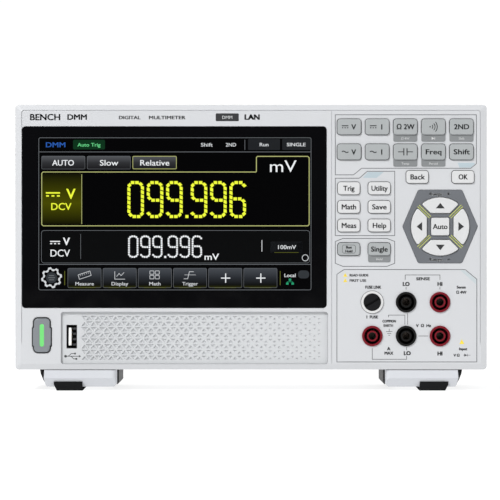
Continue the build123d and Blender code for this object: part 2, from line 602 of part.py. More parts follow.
# ================================================================ terminals
def make_sockets(name, places):
    """Shrouded 4 mm sockets: rim, threaded barrel with its nut, ring groove and centre tube."""
    centres = [socket_centre(*at) for at in places]
    with BuildPart() as sockets:
        with BuildSketch(facing(PANEL_Y - RIM_PROUD)):
            with Locations(*centres):
                Circle(RIM_R)
        extrude(amount=-RIM_PROUD)
        fillet(sockets.faces().filter_by(Axis.Y).group_by(Axis.Y)[0].edges(), 0.4)
        with BuildSketch(facing(PANEL_Y)):
            with Locations(*centres):
                Circle(BARREL_R)
        extrude(amount=-SOCKET_LEN)
        with BuildSketch(facing(INNER_Y)):
            with Locations(*centres):
                RegularPolygon(NUT_R, 6)
        extrude(amount=-NUT_T)
        with BuildSketch(facing(PANEL_Y - RIM_PROUD)):
            with Locations(*centres):
                Circle(GROOVE_OUT)
                Circle(GROOVE_IN, mode=Mode.SUBTRACT)
        extrude(amount=-GROOVE_LEN, mode=Mode.SUBTRACT)
        with BuildSketch(facing(PANEL_Y - RIM_PROUD)):
            with Locations(*centres):
                Circle(LIP_R)
        extrude(amount=-(RIM_PROUD + LIP_LEN), mode=Mode.SUBTRACT)
        with BuildSketch(facing(PANEL_Y + LIP_LEN)):
            with Locations(*centres):
                Circle(CONTACT_WALL_R + 0.05)
        extrude(amount=-CONTACT_LEN, mode=Mode.SUBTRACT)
        with BuildSketch(facing(PANEL_Y + LIP_LEN)):
            with Locations(*centres):
                Circle(TAIL_R + FIT_GAP)
        extrude(amount=-(SOCKET_LEN - LIP_LEN), mode=Mode.SUBTRACT)
    save(sockets.part, name)


make_sockets("red_sockets", RED_AT)
make_sockets("black_sockets", BLACK_AT)
ALL_SOCKETS = [socket_centre(*at) for at in RED_AT + BLACK_AT]

with BuildPart() as socket_contacts:
    with BuildSketch(facing(PANEL_Y + LIP_LEN)):
        with Locations(*ALL_SOCKETS):
            Circle(CONTACT_WALL_R)
    extrude(amount=-CONTACT_LEN)
    with BuildSketch(facing(PANEL_Y + LIP_LEN + CONTACT_LEN)):
        with Locations(*ALL_SOCKETS):
            Circle(TAIL_R)
    extrude(amount=-(INPUT_BOARD_Y + PCB_T + 0.8 - PANEL_Y - LIP_LEN - CONTACT_LEN))
    with BuildSketch(facing(PANEL_Y + LIP_LEN)):
        with Locations(*ALL_SOCKETS):
            Circle(CONTACT_R)
    extrude(amount=-CONTACT_BORE, mode=Mode.SUBTRACT)
save(socket_contacts.part, "socket_contacts")

FUSE_X, FUSE_Z = socket_centre(*FUSE_AT)
with BuildPart() as fuse_holder:
    with BuildSketch(facing(PANEL_Y - RIM_PROUD, FUSE_X, FUSE_Z)):
        Circle(FUSE_RIM_R)
    extrude(amount=-RIM_PROUD)
    fillet(fuse_holder.faces().sort_by(Axis.Y)[0].edges(), 0.3)
    with BuildSketch(facing(PANEL_Y, FUSE_X, FUSE_Z)):
        Circle(FUSE_BODY_R)
    extrude(amount=-(FUSE_BORE_LEN + 2.0))
    with BuildSketch(facing(PANEL_Y - RIM_PROUD, FUSE_X, FUSE_Z)):
        Circle(FUSE_BORE_R)
    extrude(amount=-(FUSE_BORE_LEN + RIM_PROUD), mode=Mode.SUBTRACT)
save(fuse_holder.part, "fuse_holder")

CAP_Y0, CAP_Y1 = PANEL_Y - CAP_PROUD, PANEL_Y + CAP_IN
FUSE_Y0 = PANEL_Y + 3.0
with BuildPart() as fuse_cap:
    with BuildSketch(facing(CAP_Y0, FUSE_X, FUSE_Z)):
        Circle(FUSE_CAP_R)
    extrude(amount=-(CAP_Y1 - CAP_Y0))
    fillet(fuse_cap.faces().sort_by(Axis.Y)[0].edges(), 0.5)
    with BuildSketch(facing(CAP_Y0, FUSE_X, FUSE_Z, SLOT_TURN)):
        Rectangle(2.4 * FUSE_CAP_R, CAP_SLOT)
    extrude(amount=-CAP_SLOT, mode=Mode.SUBTRACT)
    with BuildSketch(facing(FUSE_Y0 - 0.1, FUSE_X, FUSE_Z)):
        Circle(FUSE_R + 0.08)
    extrude(amount=-(CAP_Y1 - FUSE_Y0 + 0.1), mode=Mode.SUBTRACT)
save(fuse_cap.part, "fuse_cap")

with BuildPart() as fuse_link:
    with BuildSketch(facing(FUSE_Y0, FUSE_X, FUSE_Z)):
        Circle(FUSE_R)
    extrude(amount=-FUSE_LEN)
    with BuildSketch(facing(FUSE_Y0 + 5.5, FUSE_X, FUSE_Z)):
        Circle(FUSE_R + 0.5)
        Circle(FUSE_R - 0.3, mode=Mode.SUBTRACT)
    extrude(amount=-9.0, mode=Mode.SUBTRACT)
save(fuse_link.part, "fuse_link")

# ================================================================ boards
with BuildPart() as input_board:
    with BuildSketch(facing(INPUT_BOARD_Y)):
        with Locations((INPUT_X, INPUT_Z)):
            Rectangle(INPUT_W, INPUT_H)
        with Locations(*ALL_SOCKETS):
            Circle(TAIL_R + FIT_GAP, mode=Mode.SUBTRACT)
    extrude(amount=-PCB_T)
    with BuildSketch(facing(INPUT_BOARD_Y + PCB_T)):
        with Locations((60.5, 27.5), (60.5, 54.5), (77.5, 41.0), (97.0, 41.0)):
            RectangleRounded(RELAY_W, RELAY_H, 0.5)
    extrude(amount=-RELAY_T)
save(input_board.part, "input_board")

SHIELD_W, SHIELD_H = INPUT_W - 2 * SHIELD_IN, INPUT_H - 2 * SHIELD_IN
with BuildPart() as shield_cover:
    with BuildSketch(facing(INPUT_BOARD_Y + PCB_T, INPUT_X, INPUT_Z)):
        RectangleRounded(SHIELD_W, SHIELD_H, 1.0)
        RectangleRounded(SHIELD_W - 2 * SHEET_T, SHIELD_H - 2 * SHEET_T, 0.6, mode=Mode.SUBTRACT)
    extrude(amount=-SHIELD_LEN)
    with BuildSketch(facing(INPUT_BOARD_Y + PCB_T + SHIELD_LEN, INPUT_X, INPUT_Z)):
        RectangleRounded(SHIELD_W, SHIELD_H, 1.0)
        with GridLocations(8.0, 8.0, 7, 5):
            Circle(1.5, mode=Mode.SUBTRACT)
    extrude(amount=-SHEET_T)
save(shield_cover.part, "shield_cover")

with BuildPart() as main_board:
    with BuildSketch(facing(MAIN_Y)):
        with Locations((MAIN_X, MAIN_Z)):
            Rectangle(MAIN_W, MAIN_H)
        with Locations((JACK_STRIP_X, JACK_STRIP_Z)):
            Rectangle(JACK_STRIP_W, JACK_STRIP_H)
    extrude(amount=-PCB_T)
    with BuildSketch(facing(MAIN_Y + PCB_T)):
        with Locations((-60.0, 110.0), (-20.0, 115.0)):
            Rectangle(17.0, 17.0)
        with Locations((10.0, 90.0)):
            Rectangle(12.0, 20.0)
        with Locations(*CAPACITORS):
            Circle(CAPACITOR_R)
    extrude(amount=-CHIP_T)
    with BuildSketch(facing(MAIN_Y + PCB_T + CHIP_T)):
        with Locations(*CAPACITORS):
            Circle(CAPACITOR_R)
        with Locations((-60.0, 110.0)):
            with GridLocations(3.4, 1, 5, 1):
                Rectangle(1.2, 17.0)
    extrude(amount=-(CAPACITOR_LEN - CHIP_T))
save(main_board.part, "main_board")

# ================================================================ rear connectors
with BuildPart() as lan_jack:
    with BuildSketch(facing(BAY_FLOOR_Y + JACK_PROUD, LAN_X, BAY_ZC)):
        Rectangle(LAN_W, LAN_H)
    extrude(amount=JACK_LEN)
    with BuildSketch(facing(BAY_FLOOR_Y + JACK_PROUD, LAN_X, BAY_ZC)):
        with Locations((0, -0.6)):
            Rectangle(11.8, 8.4)
        with Locations((0, 4.4)):
            Rectangle(6.0, 2.0)
    extrude(amount=12.5, mode=Mode.SUBTRACT)
save(lan_jack.part, "lan_jack")

with BuildPart() as usb_device_jack:
    with BuildSketch(facing(BAY_FLOOR_Y + JACK_PROUD, USB_B_X, BAY_ZC)):
        Rectangle(USB_B_W, USB_B_H)
    extrude(amount=JACK_LEN)
    with BuildSketch(facing(BAY_FLOOR_Y + JACK_PROUD, USB_B_X, BAY_ZC)) as b_mouth:
        Rectangle(8.5, 7.8)
        chamfer(b_mouth.vertices().group_by(Axis.Z)[-1], 1.6)
    extrude(amount=9.5, mode=Mode.SUBTRACT)
    with BuildSketch(facing(BAY_FLOOR_Y - 0.5, USB_B_X, BAY_ZC)):
        Rectangle(5.6, 3.2)
    extrude(amount=9.0)
save(usb_device_jack.part, "usb_device_jack")

with BuildPart() as power_inlet:
    with BuildSketch(facing(BAY_FLOOR_Y + JACK_PROUD, INLET_X, BAY_ZC)):
        SlotOverall(INLET_W, INLET_H)
    extrude(amount=JACK_LEN)
    with BuildSketch(facing(BAY_FLOOR_Y + JACK_PROUD, INLET_X, BAY_ZC)):
        SlotOverall(INLET_W - 0.8, INLET_H - 0.8)
    extrude(amount=7.0, mode=Mode.SUBTRACT)
    with BuildSketch(facing(BAY_FLOOR_Y - 0.6, INLET_X, BAY_ZC)):
        RectangleRounded(6.7, 0.7, 0.3)
    extrude(amount=7.0)
save(power_inlet.part, "power_inlet")

BNC_CENTRES = [(x, BAY_ZC) for x in BNC_AT]
BNC_END_Y = BAY_FLOOR_Y + BNC_NUT_T + BNC_LEN
with BuildPart() as bnc_connectors:
    with BuildSketch(facing(BAY_FLOOR_Y)):
        with Locations(*BNC_CENTRES):
            Circle(BNC_NUT_R)
    extrude(amount=-BNC_NUT_T)
    with BuildSketch(facing(MAIN_Y + PCB_T)):
        with Locations(*BNC_CENTRES):
            Circle(BNC_R)
    extrude(amount=-(BNC_END_Y - MAIN_Y - PCB_T))
    with BuildSketch(facing(BNC_END_Y)):
        with Locations(*BNC_CENTRES):
            Circle(BNC_SHELL_R)
            Circle(BNC_INNER_R, mode=Mode.SUBTRACT)
    extrude(amount=BNC_DEPTH, mode=Mode.SUBTRACT)
    with BuildSketch(facing(BNC_END_Y)):
        with Locations(*BNC_CENTRES):
            Circle(0.8)
    extrude(amount=6.0, mode=Mode.SUBTRACT)
    for lug_z in (BAY_ZC - LUG_TOP, BAY_ZC + LUG_TOP - LUG_LEN):
        with BuildSketch(Plane.XY.offset(lug_z)):
            with Locations(*[(x, BNC_END_Y - LUG_BACK) for x in BNC_AT]):
                Circle(LUG_R)
        extrude(amount=LUG_LEN)
save(bnc_connectors.part, "bnc_connectors")

with BuildPart() as ground_screw:
    with BuildSketch(facing(BAY_FLOOR_Y, GROUND_X, BAY_ZC)):
        Circle(WASHER_R)
    extrude(amount=-WASHER_T)
    with BuildSketch(facing(BAY_FLOOR_Y + WASHER_T, GROUND_X, BAY_ZC)):
        Circle(HEAD_R)
    extrude(amount=-HEAD_T)
    fillet(ground_screw.faces().sort_by(Axis.Y)[-1].edges(), 0.8)
    with BuildSketch(facing(BAY_FLOOR_Y + WASHER_T + HEAD_T, GROUND_X, BAY_ZC)):
        Rectangle(4.4, 0.9)
        Rectangle(0.9, 4.4)
    extrude(amount=1.5, mode=Mode.SUBTRACT)
    with BuildSketch(facing(BAY_FLOOR_Y, GROUND_X, BAY_ZC)):
        Circle(GROUND_R)
    extrude(amount=8.0)
save(ground_screw.part, "ground_screw")

# ================================================================ fasteners
with BuildPart() as case_screws:
    with BuildSketch(facing(WELL_END_Y)):
        with Locations(*SCREW_AT):
            Circle(SCREW_HEAD_R)
    extrude(amount=-SCREW_HEAD_T)
    fillet(case_screws.faces().filter_by(Axis.Y).group_by(Axis.Y)[-1].edges(), 0.7)
    with BuildSketch(facing(WELL_END_Y + SCREW_HEAD_T)):
        with Locations(*SCREW_AT):
            Rectangle(3.2, 0.8)
            Rectangle(0.8, 3.2)
    extrude(amount=1.2, mode=Mode.SUBTRACT)
    with BuildSketch(facing(WELL_END_Y)):
        with Locations(*SCREW_AT):
            Circle(PILOT_R - 0.05)
    extrude(amount=SCREW_LEN)
save(case_screws.part, "case_screws")

with BuildPart() as vesa_inserts:
    with BuildSketch(facing(BACK_Y - 0.2, 0, VESA_Z)):
        with GridLocations(VESA, VESA, 2, 2):
            Circle(INSERT_R - 0.02)
            Circle(INSERT_BORE, mode=Mode.SUBTRACT)
    extrude(amount=INSERT_LEN - 0.4)
save(vesa_inserts.part, "vesa_inserts")


# ================================================================ feet
def make_foot_base(name, side):
    """Black channel under the case: two cheeks, a top plate and a solid rear block."""
    outer = [(FOOT_OUT, CASE_Z0), (FOOT_OUT - 0.5, 9.0), (FOOT_OUT - 1.7, 6.0), (FOOT_OUT - 3.3, 3.0)]
    inner = [(FOOT_IN + 0.6, 3.0), (FOOT_IN, 3.8), (FOOT_IN, CASE_Z0)]
    section = [(side * x, z) for x, z in outer + inner]
    with BuildPart() as base:
        with BuildSketch(facing(FOOT_Y0)):
            with BuildLine():
                Polyline(*section, close=True)
            make_face()
        extrude(amount=-(FOOT_Y1 - FOOT_Y0))
        with BuildSketch(facing(FOOT_Y0, side * (ARM_IN + ARM_OUT) / 2, 6.3)):
            Rectangle(ARM_OUT - ARM_IN + 1.6, 7.0)
        extrude(amount=-(HINGE_Y + 7.0 - FOOT_Y0), mode=Mode.SUBTRACT)
        with BuildSketch(Plane.XY.offset(REAR_PAD_T)):
            with Locations((side * 98.5, (HINGE_Y + 7.0 + FOOT_Y1) / 2)):
                RectangleRounded(38.0, FOOT_Y1 - HINGE_Y - 7.0, 2.0)
        extrude(amount=3.0)
        with BuildSketch(side_plane(side * FOOT_OUT)):
            with Locations((HINGE_Y, HINGE_Z)):
                Circle(PIN_R + 0.02)
        extrude(amount=-side * (FOOT_OUT - FOOT_IN - 1.0), mode=Mode.SUBTRACT)
    save(base.part, name)


def make_leg(name, side):
    """Fold-down leg: wide front bar with a bevelled underside, flat arm and hinge barrel."""
    outer = [(LEG_OUT - 0.4, LEG_Z1), (LEG_OUT, 7.0), (LEG_OUT - 0.9, 3.4), (LEG_OUT - 1.6, LEG_Z0)]
    inner = [(LEG_IN + 1.2, LEG_Z0), (LEG_IN, LEG_Z0 + 1.2), (LEG_IN, LEG_Z1)]
    section = [(side * x, z) for x, z in outer + inner]
    with BuildPart() as leg:
        with BuildSketch(facing(LEG_Y0)):
            with BuildLine():
                Polyline(*section, close=True)
            make_face()
        extrude(amount=-(LEG_Y1 - LEG_Y0))
        with BuildSketch(side_plane(side * (LEG_IN - 1))):
            with BuildLine():
                Polyline(
                    (LEG_Y0 - 1, LEG_BEVEL_Z), (LEG_Y0, LEG_BEVEL_Z), (LEG_BEVEL_Y, LEG_Z0),
                    (LEG_BEVEL_Y, 0), (LEG_Y0 - 1, 0), close=True,
                )
            make_face()
        extrude(amount=side * (LEG_OUT - LEG_IN + 2), mode=Mode.SUBTRACT)
        corner = leg.edges().filter_by(Axis.Z).group_by(Axis.Y)[0].sort_by(Axis.X)
        fillet(corner[0] if side > 0 else corner[-1], LEG_CORNER)
        with BuildSketch(side_plane(side * ARM_IN)):
            with Locations(((LEG_Y1 - 1 + HINGE_Y) / 2, HINGE_Z - 0.2)):
                Rectangle(HINGE_Y - LEG_Y1 + 1, 5.4)
            with Locations((HINGE_Y, HINGE_Z)):
                Circle(HINGE_R)
        extrude(amount=side * (ARM_OUT - ARM_IN))
        with BuildSketch(Plane.XY.offset(2.0)):
            with Locations((side * 89.0, -11.5), (side * 104.5, -11.5)):
                RectangleRounded(11.5, 18.0, 1.5)
        extrude(amount=3.6, mode=Mode.SUBTRACT)
        with BuildSketch(side_plane(side * ARM_IN)):
            with Locations((HINGE_Y, HINGE_Z)):
                Circle(PIN_R + 0.06)
        extrude(amount=side * (ARM_OUT - ARM_IN), mode=Mode.SUBTRACT)
    save(leg.part, name)


def make_leg_pad(name, side):
    """Rubber shoe that wraps the bevel and the underside of a leg's front bar."""
    pad_in, pad_out, pad_back = 95.1, 111.2, -26.0
    slope = (LEG_BEVEL_Y - LEG_Y0) / (LEG_BEVEL_Z - LEG_Z0)
    top_z = 5.1
    on_bevel = LEG_Y0 + slope * (LEG_BEVEL_Z - top_z)
    profile = [
        (on_bevel, top_z), (on_bevel - 0.7, top_z), (LEG_BEVEL_Y - 1.1, 0), (pad_back, 0),
        (pad_back, LEG_Z0), (LEG_BEVEL_Y, LEG_Z0),
    ]
    with BuildPart() as pad:
        with BuildSketch(side_plane(side * pad_in)):
            with BuildLine():
                Polyline(*profile, close=True)
            make_face()
        extrude(amount=side * (pad_out - pad_in))
        with BuildSketch(facing(LEG_BEVEL_Y)):
            with BuildLine():
                Polyline(
                    (side * pad_in, LEG_Z0), (side * (pad_in - 2.1), LEG_Z0), (side * pad_in, 0), close=True,
                )
            make_face()
        extrude(amount=-(pad_back - LEG_BEVEL_Y))
        with BuildSketch(facing(LEG_Y0 - 1)):
            with BuildLine():
                Polyline(
                    (side * pad_out, 3.4), (side * (pad_out - 1.6), 0), (side * pad_out, 0), close=True,
                )
            make_face()
        extrude(amount=-(pad_back - LEG_Y0 + 2), mode=Mode.SUBTRACT)
    save(pad.part, name)


for side_name, side in (("left", -1), ("right", 1)):
    make_foot_base(f"foot_base_{side_name}", side)
    make_leg(f"leg_{side_name}", side)
    make_leg_pad(f"leg_pad_{side_name}", side)

with BuildPart() as foot_pins:
    for side in (-1, 1):
        with BuildSketch(side_plane(side * (FOOT_IN + 1.5))):
            with Locations((HINGE_Y, HINGE_Z)):
                Circle(PIN_R)
        extrude(amount=side * (FOOT_OUT - FOOT_IN - 4.5))
save(foot_pins.part, "foot_pins")

with BuildPart() as rear_pads:
    with BuildSketch(Plane.XY):
        with Locations((-96.0, 23.0), (96.0, 23.0)):
            RectangleRounded(26.0, 11.0, 2.5)
    extrude(amount=REAR_PAD_T)
save(rear_pads.part, "rear_pads")
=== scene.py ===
"""Looks of the bench multimeter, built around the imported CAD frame."""
import json
import math

import bmesh
import bpy
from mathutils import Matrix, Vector
from mathutils.geometry import delaunay_2d_cdt


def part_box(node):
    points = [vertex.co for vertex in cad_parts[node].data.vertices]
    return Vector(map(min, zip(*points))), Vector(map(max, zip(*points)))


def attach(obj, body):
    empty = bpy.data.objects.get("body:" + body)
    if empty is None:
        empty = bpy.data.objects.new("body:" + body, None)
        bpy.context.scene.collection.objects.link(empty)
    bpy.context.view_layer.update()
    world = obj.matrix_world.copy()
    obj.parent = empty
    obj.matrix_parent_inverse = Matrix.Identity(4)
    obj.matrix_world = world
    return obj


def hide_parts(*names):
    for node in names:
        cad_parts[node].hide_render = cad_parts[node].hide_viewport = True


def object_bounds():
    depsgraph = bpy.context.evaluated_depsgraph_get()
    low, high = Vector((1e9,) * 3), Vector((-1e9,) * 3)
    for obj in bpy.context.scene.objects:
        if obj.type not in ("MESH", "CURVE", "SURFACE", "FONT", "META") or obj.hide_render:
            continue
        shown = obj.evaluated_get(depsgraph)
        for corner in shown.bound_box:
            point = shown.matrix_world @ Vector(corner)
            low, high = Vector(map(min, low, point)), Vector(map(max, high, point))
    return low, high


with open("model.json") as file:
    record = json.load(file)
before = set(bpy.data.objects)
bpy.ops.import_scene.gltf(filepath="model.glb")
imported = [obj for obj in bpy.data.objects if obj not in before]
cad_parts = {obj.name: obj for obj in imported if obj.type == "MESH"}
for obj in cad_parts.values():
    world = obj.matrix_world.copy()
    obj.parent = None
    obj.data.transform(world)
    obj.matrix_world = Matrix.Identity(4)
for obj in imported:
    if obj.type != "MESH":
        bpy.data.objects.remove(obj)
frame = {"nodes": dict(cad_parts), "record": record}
CAD_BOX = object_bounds()
NODES = frame["nodes"]
MM = 0.001

# ------------------------------------------------------------------ reference places, in mm, from the frame


def box_mm(node):
    lo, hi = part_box(node)
    return lo / MM, hi / MM


GLASS_LO, GLASS_HI = box_mm("screen_glass")
BEZEL_LO, BEZEL_HI = box_mm("front_bezel")
PANEL_Y = BEZEL_LO.y                # front panel
KEY_Y = box_mm("key_ok")[0].y       # key faces
INK = 0.03                          # thickness of a printed film

# ------------------------------------------------------------------ materials


def node_tree(name):
    mat = bpy.data.materials.new(name)
    mat.use_nodes = True
    tree = mat.node_tree
    return mat, tree, tree.nodes["Principled BSDF"]


def noise(tree, scale, detail=2.0, rough=0.5):
    coord = tree.nodes.new("ShaderNodeTexCoord")
    tex = tree.nodes.new("ShaderNodeTexNoise")
    tex.inputs["Scale"].default_value = scale
    tex.inputs["Detail"].default_value = detail
    tex.inputs["Roughness"].default_value = rough
    tree.links.new(coord.outputs["Object"], tex.inputs["Vector"])
    return tex.outputs["Fac"]


def spread(tree, value, low, high, start=0.3, end=0.7):
    """Maps a noise value onto a range."""
    span = tree.nodes.new("ShaderNodeMapRange")
    span.inputs["From Min"].default_value = start
    span.inputs["From Max"].default_value = end
    span.inputs["To Min"].default_value = low
    span.inputs["To Max"].default_value = high
    tree.links.new(value, span.inputs["Value"])
    return span.outputs["Result"]


def blend_colours(tree, fac, dark, light):
    mix = tree.nodes.new("ShaderNodeMix")
    mix.data_type = "RGBA"
    mix.inputs[6].default_value = (*dark, 1)
    mix.inputs[7].default_value = (*light, 1)
    tree.links.new(fac, mix.inputs[0])
    return mix.outputs[2]


def colour_ramp(tree, fac, stops):
    """Colours at places from 0 to 1 along a value."""
    ramp = tree.nodes.new("ShaderNodeValToRGB")
    while len(ramp.color_ramp.elements) < len(stops):
        ramp.color_ramp.elements.new(0.5)
    for element, (position, colour) in zip(ramp.color_ramp.elements, stops):
        element.position = position
        element.color = (*colour, 1)
    tree.links.new(fac, ramp.inputs["Fac"])
    return ramp.outputs["Color"]


def relief_bump(tree, shader, height, strength, depth):
    """Fine surface relief; depth in mm."""
    bump = tree.nodes.new("ShaderNodeBump")
    bump.inputs["Strength"].default_value = strength
    bump.inputs["Distance"].default_value = depth * MM
    tree.links.new(height, bump.inputs["Height"])
    tree.links.new(bump.outputs["Normal"], shader.inputs["Normal"])
    return bump


def moulded(name, colour, rough=0.5, grain=0.35, relief=0.02, vary=0.025, edge=0.0, spec=0.5):
    """Moulded plastic, rubber or ink: fine grain, slow colour drift, uneven roughness, softened edges."""
    mat, tree, shader = node_tree(name)
    slow = noise(tree, 14.0, 3.0)
    dark = tuple(c * (1 - vary) for c in colour)
    light = tuple(min(1.0, c * (1 + vary)) for c in colour)
    tree.links.new(blend_colours(tree, spread(tree, slow, 0, 1), dark, light), shader.inputs["Base Color"])
    tree.links.new(spread(tree, noise(tree, 90.0), rough - 0.04, rough + 0.04), shader.inputs["Roughness"])
    bump = relief_bump(tree, shader, noise(tree, 1 / (grain * MM), 2.0, 0.6), 0.6, relief)
    if edge:
        bevel = tree.nodes.new("ShaderNodeBevel")
        bevel.samples = 6
        bevel.inputs["Radius"].default_value = edge * MM
        tree.links.new(bevel.outputs["Normal"], bump.inputs["Normal"])
    shader.inputs["Specular IOR Level"].default_value = spec
    return mat


def metal(name, colour, rough=0.3, streak=0.02):
    """Plated or turned metal with fine streaks and slight tarnish."""
    mat, tree, shader = node_tree(name)
    slow = noise(tree, 60.0, 4.0)
    dark = tuple(c * 0.86 for c in colour)
    tree.links.new(blend_colours(tree, spread(tree, slow, 0, 1), dark, colour), shader.inputs["Base Color"])
    patchy = spread(tree, noise(tree, 700.0, 3.0), rough - 0.06, rough + 0.08)
    tree.links.new(patchy, shader.inputs["Roughness"])
    relief_bump(tree, shader, noise(tree, 1500.0), 0.4, streak)
    shader.inputs["Metallic"].default_value = 1.0
    return mat


def lit_shader(name, power, rough=0.12):
    """A black face that only gives out light; its colour is linked afterwards."""
    mat, tree, shader = node_tree(name)
    shader.inputs["Base Color"].default_value = (0.0004, 0.0004, 0.0004, 1)
    shader.inputs["Specular IOR Level"].default_value = 0.1
    shader.inputs["Emission Strength"].default_value = power
    shader.inputs["Roughness"].default_value = rough
    return mat, tree, shader.inputs["Emission Color"]


def lit(name, colour, power=1.0, rough=0.12, vary=0.08):
    """A lit part of the display or a lamp."""
    mat, tree, glow = lit_shader(name, power, rough)
    dim = tuple(c * (1 - vary) for c in colour)
    tree.links.new(blend_colours(tree, spread(tree, noise(tree, 240.0), 0, 1), dim, colour), glow)
    return mat


def lit_ramp(name, stops, low, high):
    """A display area whose colour changes upwards between two heights in mm."""
    mat, tree, glow = lit_shader(name, 1.0)
    coord = tree.nodes.new("ShaderNodeTexCoord")
    split = tree.nodes.new("ShaderNodeSeparateXYZ")
    tree.links.new(coord.outputs["Object"], split.inputs["Vector"])
    span = spread(tree, split.outputs["Z"], 0, 1, low * MM, high * MM)
    tree.links.new(colour_ramp(tree, span, [(at_part, tone(*steps)) for at_part, steps in stops]), glow)
    return mat


def tone(red, green, blue):
    """Linear colour of a display or ink tone given as 0 to 255 steps."""
    return tuple((c / 12.92 if c <= 0.04045 else ((c + 0.055) / 1.055) ** 2.4)
                 for c in (red / 255, green / 255, blue / 255))


CASE = moulded("case_light", (0.508, 0.518, 0.535), 0.52, 0.32, 0.02, 0.012, edge=0.35)
CASE_REAR = moulded("case_rear", (0.49, 0.50, 0.515), 0.55, 0.45, 0.035, 0.015, edge=0.4)
TRIM = moulded("trim_light", (0.50, 0.512, 0.525), 0.5, 0.32, 0.015, 0.012)
HOLDER = moulded("holder_light", (0.58, 0.58, 0.58), 0.3, 0.5, 0.005, 0.01, edge=0.15)
KEY_GREY = moulded("key_grey", (0.318, 0.335, 0.34), 0.5, 0.3, 0.012, 0.02)
KEY_WHITE = moulded("key_white", (0.555, 0.56, 0.565), 0.45, 0.3, 0.01, 0.01)
NAV_GREY = moulded("nav_grey", (0.112, 0.120, 0.133), 0.5, 0.3, 0.012, 0.03, edge=0.2)
BUTTON_GREY = moulded("button_grey", (0.178, 0.193, 0.208), 0.42, 0.3, 0.01, 0.03)
BLACK = moulded("foot_black", (0.006, 0.006, 0.007), 0.5, 0.4, 0.03, 0.1, edge=0.2, spec=0.25)
LEG = moulded("leg_light", (0.53, 0.545, 0.575), 0.5, 0.35, 0.02, 0.015, edge=0.4)
RUBBER = moulded("rubber", (0.006, 0.0062, 0.007), 0.62, 0.25, 0.03, 0.15, edge=0.3, spec=0.1)
SOCKET_RED = moulded("socket_red", (0.15, 0.004, 0.011), 0.38, 0.6, 0.004, 0.03, spec=0.2)
SOCKET_BLACK = moulded("socket_black", (0.004, 0.004, 0.004), 0.4, 0.6, 0.004, 0.1, spec=0.16)
CAP_BLACK = moulded("cap_black", (0.005, 0.005, 0.006), 0.45, 0.3, 0.01, 0.1, spec=0.14)
BRASS = metal("brass", (0.80, 0.60, 0.28), 0.26)
NICKEL = metal("nickel", (0.68, 0.67, 0.64), 0.3)
STEEL = metal("screw_steel", (0.42, 0.42, 0.43), 0.38)
# painted shade: the socket contacts are darkened for the shade deep inside the sockets
CONTACT_PAINTED_SHADE = metal("contact_painted_shade", (0.085, 0.07, 0.06), 0.3)
TIN = metal("tin_plate", (0.62, 0.62, 0.6), 0.4)
PCB = moulded("pcb", (0.015, 0.14, 0.05), 0.4, 0.8, 0.02, 0.1)
SWITCH = moulded("switch_black", (0.02, 0.02, 0.02), 0.45, 0.4, 0.02, 0.1)
GLASS = moulded("display_glass", (0.0012, 0.0012, 0.0017), 0.09, 8.0, 0.0, 0.1, spec=0.2)
INK_DARK = moulded("ink_dark", (0.012, 0.0125, 0.014), 0.55, 0.3, 0.004, 0.08)
INK_GREY = moulded("ink_grey", (0.05, 0.052, 0.055), 0.55, 0.3, 0.004, 0.05)
INK_LINE = moulded("ink_line", (0.10, 0.105, 0.112), 0.55, 0.3, 0.004, 0.05)
INK_STRIP = moulded("ink_strip", (0.19, 0.20, 0.205), 0.5, 0.3, 0.006, 0.04)
INK_PALE = moulded("ink_pale", (0.52, 0.53, 0.53), 0.5, 0.3, 0.004, 0.03)
INK_GREEN = moulded("ink_green", (0.50, 0.54, 0.10), 0.45, 0.3, 0.004, 0.05)
INK_YELLOW = moulded("ink_yellow", (0.75, 0.58, 0.04), 0.5, 0.3, 0.004, 0.05)
INK_CYAN = moulded("ink_cyan", (0.38, 0.455, 0.495), 0.5, 0.3, 0.004, 0.02)
INK_SHADE = moulded("ink_shade", (0.44, 0.49, 0.51), 0.5, 0.3, 0.004, 0.02)
# painted shade: a near-black sheet for the shadow in the gaps round the keys and round the fuse holder
GAP_SHADE = moulded("gap_shade", (0.03, 0.031, 0.032), 0.6, 0.3, 0.004, 0.08, spec=0.1)
SPRING = metal("spring_dark", (0.10, 0.10, 0.105), 0.4)
# painted shade: the USB shell is near-black for the shade inside the port
SHELL_PAINTED_SHADE = moulded("shell_painted_shade", (0.004, 0.004, 0.0045), 0.4, 0.3, 0.004, 0.1, spec=0.2)
TONGUE = moulded("tongue_white", (0.82, 0.82, 0.80), 0.35, 0.4, 0.004, 0.02)

FINISH = {
    "front_bezel": CASE, "rear_cover": CASE_REAR, "screen_glass": GLASS, "lcd_module": TIN,
    "nav_plate": NAV_GREY, "power_button": BUTTON_GREY, "key_board": PCB, "tact_switches": SWITCH,
    "main_board": PCB, "input_board": PCB, "shield_cover": TIN, "red_sockets": SOCKET_RED,
    "black_sockets": SOCKET_BLACK, "socket_contacts": CONTACT_PAINTED_SHADE, "fuse_holder": HOLDER, "fuse_cap": CAP_BLACK,
    "fuse_link": NICKEL, "lan_jack": NICKEL, "usb_device_jack": NICKEL, "power_inlet": NICKEL,
    "bnc_connectors": NICKEL, "ground_screw": STEEL, "case_screws": STEEL, "vesa_inserts": BRASS,
    "foot_base_left": BLACK, "foot_base_right": BLACK, "foot_pins": STEEL, "leg_left": LEG,
    "leg_right": LEG, "leg_pad_left": RUBBER, "leg_pad_right": RUBBER, "rear_pads": RUBBER,
    "texture_panel": TRIM, "front_usb_socket": NICKEL,
}
SLOT_MATERIAL = {"key_grey": KEY_GREY, "key_white": KEY_WHITE}
SLOT_OF = {s["node"]: s["material_slot"] for s in frame["record"]["subparts"]}
FINISH["power_light"] = lit("light_green", (0.22, 0.84, 0.24), 1.0, 0.3, 0.03)
for node_name, node_object in NODES.items():
    finish = FINISH.get(node_name) or SLOT_MATERIAL[SLOT_OF[node_name]]
    node_object.data.materials.clear()
    node_object.data.materials.append(finish)

# ------------------------------------------------------------------ flat drawing on upright planes
CAP_HEIGHT = 0.73   # capital height of the built-in lettering at size 1


